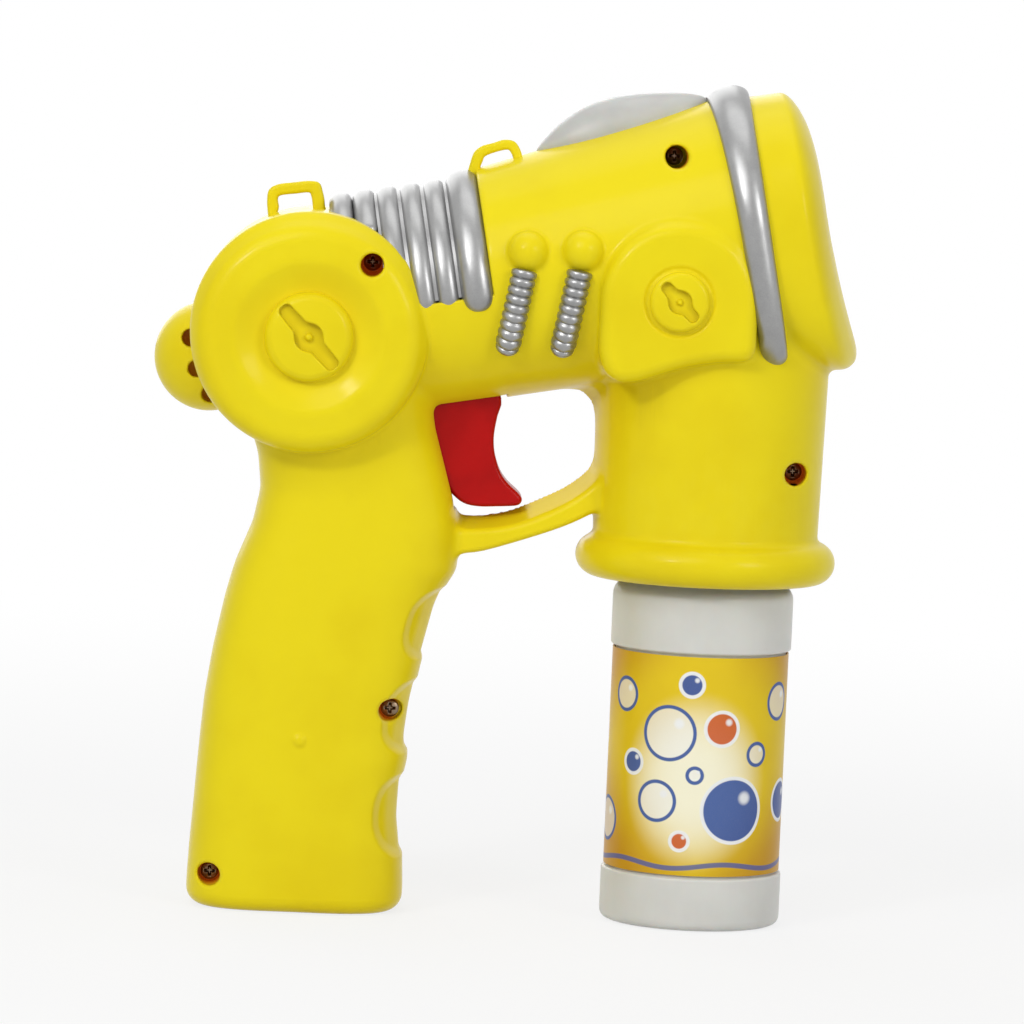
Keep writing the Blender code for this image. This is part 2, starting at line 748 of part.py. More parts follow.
CENTRES = (PINION_TEETH + GEAR_TEETH) * GEAR_MODULE / 2 + 0.1
MOTOR_AT = (DRUM_X, DRUM_Z)
PUMP_AT = (PUMP_X, PUMP_Z)
span = math.hypot(PUMP_X - DRUM_X, PUMP_Z - DRUM_Z)
sag = math.sqrt(CENTRES ** 2 - (span / 2) ** 2)
span_angle = gear_angle(MOTOR_AT, PUMP_AT)
IDLER_AT = ((DRUM_X + PUMP_X) / 2 + sag * math.sin(span_angle),
            (DRUM_Z + PUMP_Z) / 2 - sag * math.cos(span_angle))

# Places along Y of the drive
DISC_INNER = DISC_HALF - WALL
FAN_BASE = DISC_INNER - FAN_ROOM - FAN_HEIGHT
MOTOR_BACK = FAN_BASE - 3 * GAP - HOUSING_WALL - MOTOR_LENGTH
PINION_Y = (MOTOR_BACK - 7.0, MOTOR_BACK - 3.4)
IDLER_Y = (PINION_Y[0] + GAP, PINION_Y[0] + GAP + GEAR_FACE)
AXLE_SEAT_Y = -DISC_HALF + AXLE_SEAT
IDLER_PINION_Y = (IDLER_Y[1], IDLER_Y[1] + GEAR_FACE + GAP)
PUMP_GEAR_Y = (IDLER_Y[1] + GAP, IDLER_PINION_Y[1])
ROTOR_Y = PUMP_GEAR_Y[1] + 1.2
ROLLER_Y = (ROTOR_Y + GAP, ROTOR_Y + GAP + ROLLER_LENGTH)
PUMP_PLATE_Y = (ROLLER_Y[1] + 2 * GAP, ROLLER_Y[1] + 2 * GAP + HOUSING_WALL)
HOSE_Y = (ROLLER_Y[0] + ROLLER_Y[1]) / 2

# Posts, bosses and ribs inside each half, kept within its skin
right_adds = []
left_adds = []
for x, z in SCREW_PLACES:
    right_adds.append(rod(SCREW_BOSS_R, (x, -DISC_HALF, z), (x, -PARTING, z), 10))
    left_adds.append(rod(SCREW_BOSS_R - 0.6, (x, PARTING, z), (x, DISC_HALF, z), 10))
for adds, side in ((right_adds, -1), (left_adds, 1)):
    boss = (TRIGGER_PIVOT_X, TRIGGER_PIVOT_Z)
    adds.append(rod(TRIGGER_BOSS_R, (boss[0], side * (TRIGGER_HALF + 2 * GAP), boss[1]),
                    (boss[0], side * 20.0, boss[1]), 10))
    y0, y1 = sorted((side * PARTING, side * 22.0))
    adds.append(box(SPRING_BACK - GAP - 2.0, SPRING_BACK - GAP, y0, y1, SPRING_Z - 5.0, SPRING_Z + 5.6))
    adds.append(box(SPRING_BACK - 5.0, SPRING_BACK + 4.0, y0, y1, SPRING_Z + 4.0, SPRING_Z + 6.0))
right_adds.append(rod(2.8, (IDLER_AT[0], -DISC_HALF, IDLER_AT[1]),
                      (IDLER_AT[0], IDLER_Y[0] - GAP, IDLER_AT[1]), 10))
POST = (PUMP_X + 4.5, PUMP_Z + 4.5)
left_adds.append(rod(3.0, (POST[0], PUMP_PLATE_Y[1] + GAP, POST[1]), (POST[0], NECK_BASE_R, POST[1]), 10))
BOX_FLOOR = BATTERY_Y - BATTERY_R - GAP - BOX_WALL
BOX_END = BATTERY_LENGTH / 2 + CONTACT_T + 2 * GAP
for lz in (-17.0, 17.0):
    right_adds.append(local_box(-11.0, 11.0, -HANDLE_HALF, BOX_FLOOR - GAP, lz - 0.8, lz + 0.8))
DOOR_POST_Y = 9.0
door_screw_x, door_screw_z = local(0, DOOR_SCREW_AT)
right_adds.append(rod(3.2, (door_screw_x, -HANDLE_HALF, door_screw_z),
                      (door_screw_x, DOOR_POST_Y, door_screw_z), 10))

for shell, adds in ((right, right_adds), (left, left_adds)):
    for add in adds:
        combine(add, [copy_of(skin)], "INTERSECT", ("MANIFOLD",))
        shell_join(shell, add)

# Bores in the bosses
for x, z in SCREW_PLACES:
    shell_cut(right, rod(SCREW_HEAD_R + 2 * GAP, (x, -60.0, z), (x, -SCREW_SEAT, z), 12),
        rod(SCREW_R + GAP, (x, -60.0, z), (x, 1.0, z), 8))
    shell_cut(left, rod(SCREW_R + GAP, (x, -1.0, z), (x, SCREW_END + 1.0, z), 8))
for shell, side in ((right, -1), (left, 1)):
    shell_cut(shell, rod(TRIGGER_PIN_R + GAP, (TRIGGER_PIVOT_X, side * 2.0, TRIGGER_PIVOT_Z),
                   (TRIGGER_PIVOT_X, side * (TRIGGER_PIN_HALF + GAP), TRIGGER_PIVOT_Z), 10))
shell_cut(right, rod(SHAFT_R + GAP, (IDLER_AT[0], AXLE_SEAT_Y, IDLER_AT[1]),
                     (IDLER_AT[0], IDLER_Y[0], IDLER_AT[1]), 10),
    rod(SCREW_R + 2 * GAP, (door_screw_x, 2.0, door_screw_z), (door_screw_x, 12.0, door_screw_z), 12))

# Battery door, cut from the far half's own wall
door_zone = local_box(-DOOR_HALF, DOOR_HALF, HANDLE_HALF - 7.5, HANDLE_HALF + 5, DOOR_LOW, DOOR_TOP)
door = combine(copy_of(left), [door_zone], "INTERSECT", ("MANIFOLD",))
shell_cut(left, local_box(-DOOR_HALF - GAP, DOOR_HALF + GAP, HANDLE_HALF - 7.5, HANDLE_HALF + 5,
                          DOOR_LOW - 3 * GAP,
                    DOOR_TOP + GAP))
boss = rod(SCREW_BOSS_R, (door_screw_x, DOOR_POST_Y + GAP, door_screw_z),
           (door_screw_x, HANDLE_HALF - 0.8, door_screw_z), 16)
shell_join(door, boss)
DOOR_SEAT = DOOR_POST_Y + 4.0
shell_cut(door, rod(SCREW_HEAD_R + GAP, (door_screw_x, DOOR_SEAT, door_screw_z),
                    (door_screw_x, 40, door_screw_z), 16),
    rod(SCREW_R + GAP, (door_screw_x, 0, door_screw_z), (door_screw_x, 40, door_screw_z), 12))

# Strap loops stand on the near half beside the parting line
loop_y = (-PARTING - 2.9, -PARTING)
for outer, inner in (
    ([(-58.2, 158.0), (-58.6, 166.4), (-57.0, 169.2), (-46.4, 170.4), (-44.2, 168.6), (-43.6, 160.0)],
     [(-55.6, 164.6), (-55.8, 166.6), (-47.2, 167.6), (-46.8, 165.4)]),
    ([(-9.0, 171.0), (-8.9, 176.8), (-7.0, 179.2), (-1.4, 181.2), (1.4, 180.6), (3.0, 177.0),
      (4.0, 172.0)],
     [(-6.4, 176.0), (-5.8, 177.2), (-1.2, 178.6), (0.2, 178.2), (0.6, 177.6)]),
):
    strap = prism(outer, *loop_y, 0.6, 1)
    shell_cut(strap, prism(inner, -9, 9), copy_of(skin))
    shell_join(right, strap)

finish(tidy(right), "right_shell", YELLOW)
finish(tidy(left), "left_shell", YELLOW)
hinge_x, hinge_z = local(0, DOOR_TOP)
finish(tidy(door), "battery_door", YELLOW, (hinge_x, HANDLE_HALF, hinge_z))
door_screw_top = DOOR_SEAT + GAP + SCREW_HEAD_H
screw = turned([(0, DOOR_POST_Y - 1.2), (SCREW_R, DOOR_POST_Y - 1.2), (SCREW_R, DOOR_SEAT + GAP),
                (SCREW_HEAD_R, DOOR_SEAT + GAP), (SCREW_HEAD_R, door_screw_top), (0, door_screw_top)],
               (door_screw_x, 0, door_screw_z), (0, 1, 0), 16)
finish(screw, "door_screw", STEEL, (hinge_x, HANDLE_HALF, hinge_z))
for number, (x, z) in enumerate(SCREW_PLACES, 1):
    under = -SCREW_SEAT - GAP
    profile = [(0, under - SCREW_HEAD_H), (SCREW_HEAD_R, under - SCREW_HEAD_H), (SCREW_HEAD_R, under),
               (SCREW_R, under), (SCREW_R, SCREW_END), (0, SCREW_END)]
    finish(turned(profile, (x, 0, z), (0, 1, 0), 12), f"case_screw_{number}", STEEL)

# Silver trims
sleeve_profile = [(NECK_BASE_R + GAP, neck_start + 0.5)]
first_rib = NECK_W - 13.1
for k in range(RIB_COUNT):
    mid = first_rib + k * RIB_PITCH
    h = RIB_WIDTH / 2
    sleeve_profile += [(RIB_R - RIB_VALLEY, mid - h), (RIB_R, mid - h * 0.45), (RIB_R, mid + h * 0.45),
                       (RIB_R - RIB_VALLEY, mid + h)]
big = NECK_END - GAP - BIG_RIB_WIDTH
sleeve_profile += [(RIB_R - RIB_VALLEY, big), (BIG_RIB_R, big + 1.0), (BIG_RIB_R, NECK_END - GAP - 1.0),
                   (BIG_RIB_R - 1.2, NECK_END - GAP), (NECK_BASE_R + GAP, NECK_END - GAP)]
sleeve = neck_wrap(sleeve_profile, -3, 183, 18)
cut(sleeve, disc(DRUM_X, DRUM_Z + DRUM_UP, DRUM_R + GAP, -DRUM_HALF - GAP, DRUM_HALF + GAP, 48),
    disc(DRUM_X, DRUM_Z, DISC_R + GAP, -DISC_HALF - GAP, DISC_HALF + GAP, 48),
    box(-62.0, -43.0, -loop_y[1] - 6, 6, 155, 175))
finish(tidy(largest(sleeve)), "neck_sleeve", SILVER)
finish(hoop_form(0.0), "front_hoop", SILVER)
for side, side_name in ((-1, "right"), (1, "left")):
    for end_name, (top, low) in ROD_PLACES.items():
        path = []
        for k in range(7):
            t = k / 6
            x, z = top[0] + (low[0] - top[0]) * t, top[1] + (low[1] - top[1]) * t
            path.append((x, side * (barrel_half_width(x, z) + ROD_PROUD), z))
        trim = tube(path, ROD_R, 2)
        ball_x, ball_z = BALL_PLACES[list(ROD_PLACES).index(end_name)]
        cut(trim, barrel_form(GAP, NECK_R + GAP, None),
            ball(ball_x, side * (barrel_half_width(ball_x, ball_z) - BALL_SINK), ball_z, BALL_R + GAP))
        finish(tidy(trim), f"rod_{side_name}_{end_name}", SILVER)

# Light dome and lamp
dome_start = Vector((DOME_REAR_X, 0, crest_height(DOME_REAR_X)))
along = Vector((math.cos(crest_angle), 0, math.sin(crest_angle)))


def dome_form(inset):
    rings = []
    for t, h, w in ((0.0, 0.5, 0.12), (0.04, 2.4, 0.4), (0.1, 4.3, 0.62), (0.2, 6.1, 0.85),
                    (0.34, 7.0, 0.98),
                    (0.5, 6.8, 1.0), (0.66, 5.8, 0.94), (0.82, 4.0, 0.76), (0.94, 2.0, 0.45),
                    (1.0, 0.8, 0.15)):
        t = min(max(t, inset / DOME_LENGTH), 1 - inset / DOME_LENGTH)
        h = max(h - inset, 0.2)
        half = max(DOME_HALF * w - inset, 0.6)
        points = []
        for k in range(9):
            a = math.pi * k / 8
            place = dome_start + along * (t * DOME_LENGTH) + lamp_axis * (h * math.sin(a))
            points.append((place.x, half * math.cos(a), place.z - (half * math.cos(a)) ** 2 / 60))
        for y in (-half, half):
            place = dome_start + along * (t * DOME_LENGTH) - lamp_axis * 6.0
            points.append((place.x, y, place.z))
        rings.append(points)
    return loft(rings)


dome = dome_form(0.0)
cut(dome, dome_form(DOME_WALL), barrel_form(GAP, NECK_R + GAP, None), hoop_form(GAP))
finish(tidy(dome), "light_dome", FROST)
BOARD_T = 1.2
board_top = -WALL - 0.6
lamp_profile = [(0, board_top + GAP), (LAMP_R, board_top + GAP), (LAMP_R, 1.2), (LAMP_R * 0.8, 2.6),
                (LAMP_R * 0.4, 3.4),
                (0, 3.7)]
finish(turned(lamp_profile, lamp_foot, lamp_axis, 14), "led_lamp", FROST)
c0 = lamp_foot + lamp_axis * board_top
corners = [c0 - along * 6, c0 + along * 6, c0 + along * 6 - lamp_axis * BOARD_T,
           c0 - along * 6 - lamp_axis * BOARD_T]
finish(prism([(p.x, p.z) for p in corners], -5.0, 5.0), "led_board", BOARD)

# Trigger with its pin, spring and switch
trigger_outline = [(-1.0, 121.2), (-1.7, 117.0), (-2.3, 112.9), (-2.2, 109.6), (-1.5, 106.6),
                   (-0.4, 103.8),
                   (1.4, 101.4), (3.8, 99.3), (4.9, 97.9), (4.6, 96.8), (3.4, 96.2), (-4.8, 95.6),
                   (-8.2, 96.0),
                   (-10.4, 97.4), (-13.4, 100.4), (-17.0, 107.0), (-19.0, 114.0), (-19.6, 119.0),
                   (-14.0, 128.0)] + arc(TRIGGER_PIVOT_X, TRIGGER_PIVOT_Z, 4.2, 140, 0, 6)
trigger = prism(trigger_outline, -TRIGGER_HALF, TRIGGER_HALF, 0.8)
pivot_at = (TRIGGER_PIVOT_X, 0, TRIGGER_PIVOT_Z)
cut(trigger, rod(TRIGGER_PIN_R + GAP, (pivot_at[0], -20, pivot_at[2]), (pivot_at[0], 20, pivot_at[2]),
                 14))
finish(tidy(trigger), "trigger", RED, pivot_at)
finish(rod(TRIGGER_PIN_R, (pivot_at[0], -TRIGGER_PIN_HALF, pivot_at[2]),
           (pivot_at[0], TRIGGER_PIN_HALF, pivot_at[2]), 14),
       "trigger_pin", STEEL)
coil = []
for k in range(SPRING_TURNS * 8 + 1):
    a = 2 * math.pi * k / 8
    x = SPRING_FRONT - SPRING_WIRE - (SPRING_FRONT - SPRING_BACK - 2 * SPRING_WIRE) * k / (SPRING_TURNS * 8)
    coil.append((x, SPRING_R * math.cos(a), SPRING_Z + SPRING_R * math.sin(a)))
points = np.array(coil)
apart = np.linalg.norm(points[:, None] - points[None], axis=2) - 2 * SPRING_WIRE
index = np.arange(len(points))
far = np.abs(index[:, None] - index[None]) >= 5
print("trigger_spring least gap to itself, mm:", round(float(apart[far].min()), 2))
finish(tube(coil, SPRING_WIRE, 1), "trigger_spring", STEEL)
block_low = SPRING_Z + 6.0 + GAP
finish(box(SPRING_BACK - 4.0, SPRING_BACK + 3.0, -4.0, 4.0, block_low, block_low + 7.0), "switch_block",
       BLACK)
leaf_x = SPRING_BACK + 3.0 + GAP
leaf = box(leaf_x, leaf_x + 0.5, -2.0, 2.0, block_low + 0.6, block_low + 6.0)
join(leaf, box(leaf_x, leaf_x + 3.6, -2.0, 2.0, block_low + 5.5, block_low + 6.0))
finish(tidy(leaf), "switch_leaf", BRASS)

# Batteries, box and contacts
tray = local_box(-BOX_HALF - BOX_WALL, BOX_HALF + BOX_WALL, BOX_FLOOR, BATTERY_Y + BOX_RIM,
                 -BOX_END - BOX_WALL, BOX_END + BOX_WALL)
cut(tray, local_box(-BOX_HALF, BOX_HALF, BOX_FLOOR + BOX_WALL, 40, -BOX_END, BOX_END))
finish(tidy(tray), "battery_box", BLACK)
for name, lx, up in (("battery_rear", -BATTERY_R - GAP / 2, 1),
                     ("battery_front", BATTERY_R + GAP / 2, -1)):
    half = BATTERY_LENGTH / 2
    profile = [(0, -half), (BATTERY_R - 0.6, -half), (BATTERY_R, -half + 0.6), (BATTERY_R, half - 1.8),
               (BATTERY_R - 0.6, half - 1.2), (2.7, half - 1.2), (2.7, half), (0, half)]
    x, z = local(lx, 0)
    direction = Vector((math.sin(BATTERY_LEAN), 0, math.cos(BATTERY_LEAN))) * up
    finish(turned(profile, (x, BATTERY_Y, z), direction, 20), name, CELL)
low = -BOX_END + GAP
finish(local_box(-BOX_HALF + 1, BOX_HALF - 1, BATTERY_Y - 5, BATTERY_Y + 5, low, low + CONTACT_T),
       "contact_bridge", STEEL)
for name, lx in (("contact_tab_rear", -BATTERY_R - GAP / 2), ("contact_tab_front", BATTERY_R + GAP / 2)):
    finish(local_box(lx - 5, lx + 5, BATTERY_Y - 5, BATTERY_Y + 5, -low - CONTACT_T, -low), name, STEEL)

# Motor, fan and its housing
motor_front = MOTOR_BACK + MOTOR_LENGTH
can = rod(MOTOR_R, (DRUM_X, MOTOR_BACK, DRUM_Z), (DRUM_X, motor_front, DRUM_Z), 24)
keep(can, box(DRUM_X - 20, DRUM_X + 20, -30, 30, DRUM_Z - MOTOR_FLAT, DRUM_Z + MOTOR_FLAT))
cut(can, rod(SHAFT_R + GAP, (DRUM_X, -30, DRUM_Z), (DRUM_X, 30, DRUM_Z), 12))
finish(tidy(can), "motor_can", STEEL)
finish(ring(SHAFT_R + GAP, MOTOR_FLAT - 0.4, (DRUM_X, MOTOR_BACK - GAP - 2.0, DRUM_Z),
            (DRUM_X, MOTOR_BACK - GAP, DRUM_Z), 20),
       "motor_end_cap", NYLON)
axis_m = (DRUM_X, 0, DRUM_Z)
finish(rod(SHAFT_R, (DRUM_X, PINION_Y[0] - 0.5, DRUM_Z), (DRUM_X, FAN_BASE + FAN_HEIGHT - 1.0, DRUM_Z),
           12),
       "motor_shaft", STEEL, axis_m)
fan = rod(FAN_R, (DRUM_X, FAN_BASE, DRUM_Z), (DRUM_X, FAN_BASE + 1.0, DRUM_Z), 24)
join(fan, rod(3.4, (DRUM_X, FAN_BASE - 0.2, DRUM_Z), (DRUM_X, FAN_BASE + FAN_HEIGHT + 0.2, DRUM_Z), 12))
for k in range(FAN_BLADES):
    a = 2 * math.pi * k / FAN_BLADES
    d = Vector((math.cos(a), 0, math.sin(a)))
    n = Vector((-d.z, 0, d.x)) * 0.5
    c = Vector((DRUM_X, 0, DRUM_Z))
    blade = [c + d * 2.6 - n, c + d * (FAN_R - 0.4) - n, c + d * (FAN_R - 0.4) + n, c + d * 2.6 + n]
    join(fan, prism([(p.x, p.z) for p in blade], FAN_BASE + 0.5, FAN_BASE + FAN_HEIGHT))
cut(fan, rod(SHAFT_R + GAP, (DRUM_X, FAN_BASE - 1, DRUM_Z), (DRUM_X, FAN_BASE + FAN_HEIGHT + 1, DRUM_Z),
             12))
finish(tidy(fan), "blower_fan", NYLON, axis_m)
plate_y = motor_front + GAP
scroll_r = FAN_R + 3 * GAP
housing = ring(SHAFT_R + 1.0, scroll_r + HOUSING_WALL, (DRUM_X, plate_y, DRUM_Z),
               (DRUM_X, plate_y + HOUSING_WALL, DRUM_Z), 24)
join(housing, ring(scroll_r, scroll_r + HOUSING_WALL, (DRUM_X, plate_y + HOUSING_WALL / 2, DRUM_Z),
                   (DRUM_X, DISC_INNER - GAP, DRUM_Z), 24))
for k in range(6):
    a = math.radians(30 + 60 * k)
    x, z = DRUM_X + 11.6 * math.cos(a), DRUM_Z + 11.6 * math.sin(a)
    cut(housing, rod(2.0, (x, 0, z), (x, plate_y + 3, z), 8))
cut(housing, box(DRUM_X + 8, DRUM_X + 30, plate_y + HOUSING_WALL + 0.6, DISC_INNER - 1.5, DRUM_Z - 5,
                 DRUM_Z + 10))
finish(tidy(housing), "blower_housing", BLACK)


def gear(teeth, at, phase, y0, y1):
    pitch_r = teeth * GEAR_MODULE / 2
    step = 2 * math.pi / teeth
    outline = []
    for k in range(teeth):
        mid = phase + k * step
        for offset, r in ((-0.27, -1.25), (-0.12, 0.9), (0.12, 0.9), (0.27, -1.25)):
            radius = pitch_r + r * GEAR_MODULE
            a = mid + offset * step
            outline.append((at[0] + radius * math.cos(a), at[1] + radius * math.sin(a)))
    return prism(outline, y0, y1)


def bore(at, r):
    return rod(r, (at[0], -60, at[1]), (at[0], 60, at[1]), 12)


half_tooth = math.pi / GEAR_TEETH
first = gear_angle(MOTOR_AT, IDLER_AT)
second = gear_angle(IDLER_AT, PUMP_AT)
pinion = gear(PINION_TEETH, MOTOR_AT, first, *PINION_Y)
finish(tidy(cut(pinion, bore(MOTOR_AT, SHAFT_R + TURN_CLEAR))), "pinion", NYLON, axis_m)
idler = gear(GEAR_TEETH, IDLER_AT, first + math.pi + half_tooth, *IDLER_Y)
join(idler, gear(PINION_TEETH, IDLER_AT, second, IDLER_Y[1] - 1.0, IDLER_PINION_Y[1]))
finish(tidy(cut(idler, bore(IDLER_AT, SHAFT_R + TURN_CLEAR))), "idler_gear", NYLON,
       (IDLER_AT[0], 0, IDLER_AT[1]))
finish(rod(SHAFT_R, (IDLER_AT[0], AXLE_SEAT_Y + GAP, IDLER_AT[1]),
           (IDLER_AT[0], IDLER_PINION_Y[1] + 0.2, IDLER_AT[1]), 12),
       "idler_axle", STEEL)
pump = gear(GEAR_TEETH, PUMP_AT, second + math.pi + half_tooth, *PUMP_GEAR_Y)
join(pump, rod(ROLLER_ORBIT + 1.6, (PUMP_X, PUMP_GEAR_Y[1] - 0.5, PUMP_Z), (PUMP_X, ROTOR_Y, PUMP_Z), 20))
roller_at = [(PUMP_X + ROLLER_ORBIT * math.cos(a), PUMP_Z + ROLLER_ORBIT * math.sin(a))
             for a in (second + math.pi / 2, second - math.pi / 2)]
for x, z in roller_at:
    join(pump, rod(ROLLER_PIN_R, (x, ROTOR_Y - 0.5, z), (x, ROLLER_Y[1] + GAP, z), 10))
axis_p = (PUMP_X, 0, PUMP_Z)
finish(tidy(cut(pump, bore(PUMP_AT, SHAFT_R + TURN_CLEAR))), "pump_gear", NYLON, axis_p)
for name, (x, z) in zip(("pump_roller_upper", "pump_roller_lower"), roller_at):
    roller = ring(ROLLER_PIN_R + TURN_CLEAR, ROLLER_R, (x, ROLLER_Y[0], z), (x, ROLLER_Y[1], z), 14)
    finish(roller, name, STEEL, (x, 0, z))
    print(name, "axis", round(x, 3), round(z, 3))
finish(rod(SHAFT_R, (PUMP_X, PUMP_GEAR_Y[0] - 0.5, PUMP_Z), (PUMP_X, PUMP_PLATE_Y[1] - 0.2, PUMP_Z), 12),
       "pump_axle", STEEL)
race_r = HOSE_LOOP_R + HOSE_R + GAP
race_out = race_r + HOUSING_WALL + 0.4
case = ring(SHAFT_R + TURN_CLEAR, race_out, (PUMP_X, PUMP_PLATE_Y[0], PUMP_Z),
            (PUMP_X, PUMP_PLATE_Y[1], PUMP_Z), 28)
join(case, ring(race_r, race_out, (PUMP_X, ROTOR_Y - 0.6, PUMP_Z),
                (PUMP_X, PUMP_PLATE_Y[0] + 0.5, PUMP_Z), 28))
cut(case, box(PUMP_X + 3.0, PUMP_X + 30, ROTOR_Y - 5, PUMP_PLATE_Y[0], PUMP_Z - 30, PUMP_Z + 30))
finish(tidy(case), "pump_housing", BLACK)

# Feed hose from the socket insert, round the pump, to the ring in the mouth
nipple_top = INSERT_Z + INSERT_T + 5.0
loop_points = [(PUMP_X + HOSE_LOOP_R * math.cos(math.radians(a)), HOSE_Y,
                PUMP_Z + HOSE_LOOP_R * math.sin(math.radians(a)))
               for a in range(-75, -286, -30)]
ring_back = RIM_W - MOUTH_DEPTH + 1.0
ring_hose = lean_to_world(ring_back - GAP, HOOP_Q + MOUTH_R - 2.6)
end_a = lean_to_world(ring_back - 6.0, HOOP_Q + MOUTH_R - 2.6)
hose_route = ([(SOCKET_X, 0, nipple_top + GAP), (SOCKET_X, 0, nipple_top + 6),
               (SOCKET_X - 4, -1.5, 124.0),
               (36.0, -4.0, 131.5), (18.0, -5.5, 134.5), (2.0, -5.5, 134.0), (-9.0, HOSE_Y, 133.4)]
              + loop_points
              + [(-10.0, HOSE_Y, 148.8), (8.0, -5.5, 155.0), (24.0, -5.0, 164.5), (40.0, -2.0, 172.0),
                 (end_a[0], 0, end_a[1]), (ring_hose[0], 0, ring_hose[1])])
hose = tube(smooth_route(hose_route, 3), HOSE_R, 1)
finish(tidy(hose), "feed_hose", HOSE)
base_x, base_z = lean_to_world(ring_back, HOOP_Q)
deep = RIM_W - 1.0 - ring_back
outer = MOUTH_R - GAP
ring_profile = [(MOUTH_R - 5.0, 0.0), (outer, 0.0), (outer, deep), (outer - 1.6, deep + 0.8),
                (MOUTH_R - 5.0, deep * 0.55)]
finish(turned(ring_profile, (base_x, 0, base_z), (CA, 0, SA), 28), "bubble_ring", NYLON)

# Socket insert, dip tube, seal, bottle and label
skirt_r = NECK_MOUTH_R + 2 * GAP
insert = turned([(DIP_BORE_R, INSERT_Z), (skirt_r, INSERT_Z), (skirt_r, INSERT_Z - 11.5),
                 (skirt_r + 2.0, INSERT_Z - 11.5),
                 (skirt_r + 2.0, INSERT_Z), (SOCKET_BORE_R - GAP, INSERT_Z),
                 (SOCKET_BORE_R - GAP, INSERT_Z + INSERT_T),
                 (HOSE_R, INSERT_Z + INSERT_T), (HOSE_R, nipple_top), (HOSE_BORE_R, nipple_top),
                 (HOSE_BORE_R, INSERT_Z + INSERT_T - 0.5)], (SOCKET_X, 0, 0), (0, 0, 1), 28)
finish(insert, "socket_insert", WHITE)
finish(ring(DIP_BORE_R, DIP_R, (SOCKET_X, 0, DIP_END), (SOCKET_X, 0, INSERT_Z - GAP), 12), "dip_tube",
       HOSE)
seal_top = INSERT_Z - GAP
finish(ring(NECK_MOUTH_R - 3.0, NECK_MOUTH_R, (SOCKET_X, 0, NECK_MOUTH_TOP + GAP),
            (SOCKET_X, 0, seal_top), 24),
       "bottle_seal", RUBBER)
zone_r = LABEL_R - LABEL_T - GAP
neck_low = BOTTLE_SHOULDER + 6.5
outside = [(0, 0.8), (BOTTLE_R - 6.0, 0.8), (BOTTLE_R - 5.0, 0.0), (BOTTLE_R - 2.2, 0.0),
           (BOTTLE_R - 0.5, 0.8),
           (BOTTLE_R, 2.6), (BOTTLE_R, LABEL_LOW - 1.0), (zone_r, LABEL_LOW - 0.4),
           (zone_r, LABEL_TOP + 0.4),
           (BOTTLE_R, LABEL_TOP + 1.0), (BOTTLE_R, BOTTLE_SHOULDER - 2),
           (BOTTLE_R - 1.2, BOTTLE_SHOULDER + 1.6),
           (NECK_MOUTH_R + 2.4, neck_low - 0.8), (NECK_MOUTH_R, neck_low), (NECK_MOUTH_R, NECK_MOUTH_TOP)]
w = BOTTLE_WALL
within = [(NECK_MOUTH_R - 2.2, NECK_MOUTH_TOP), (NECK_MOUTH_R - 2.2, neck_low - 1.6),
          (BOTTLE_R - 3.4, BOTTLE_SHOULDER - 1.0),
          (BOTTLE_R - w - 0.6, BOTTLE_SHOULDER - 4.0), (zone_r - w, LABEL_TOP - 1.0),
          (zone_r - w, LABEL_LOW + 1.0),
          (BOTTLE_R - w - 1.0, LABEL_LOW - 3.0), (BOTTLE_R - w - 2.0, 3.0), (BOTTLE_R - w - 4.0, 2.2),
          (0, 2.2)]
finish(turned(outside + within, (SOCKET_X, 0, 0), (0, 0, 1), 32), "bottle", WHITE,
       (SOCKET_X, 0, NECK_MOUTH_TOP))
finish(ring(LABEL_R - LABEL_T, LABEL_R, (SOCKET_X, 0, LABEL_LOW), (SOCKET_X, 0, LABEL_TOP), 32),
       "bottle_label", PRINT,
       (SOCKET_X, 0, NECK_MOUTH_TOP))

kept = set(OUT)
for ob in list(bpy.data.objects):
    if ob not in kept:
        bpy.data.objects.remove(ob)
print("motor axis", DRUM_X, DRUM_Z, "idler", [round(v, 3) for v in IDLER_AT], "pump", PUMP_X, PUMP_Z)
print("door hinge", round(hinge_x, 3), HANDLE_HALF, round(hinge_z, 3))
for ob in OUT:
    print(ob.name, len(ob.data.polygons))
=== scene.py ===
import math
from functools import partialmethod, reduce

import bmesh
import bpy
import numpy as np
from mathutils import Matrix, Vector


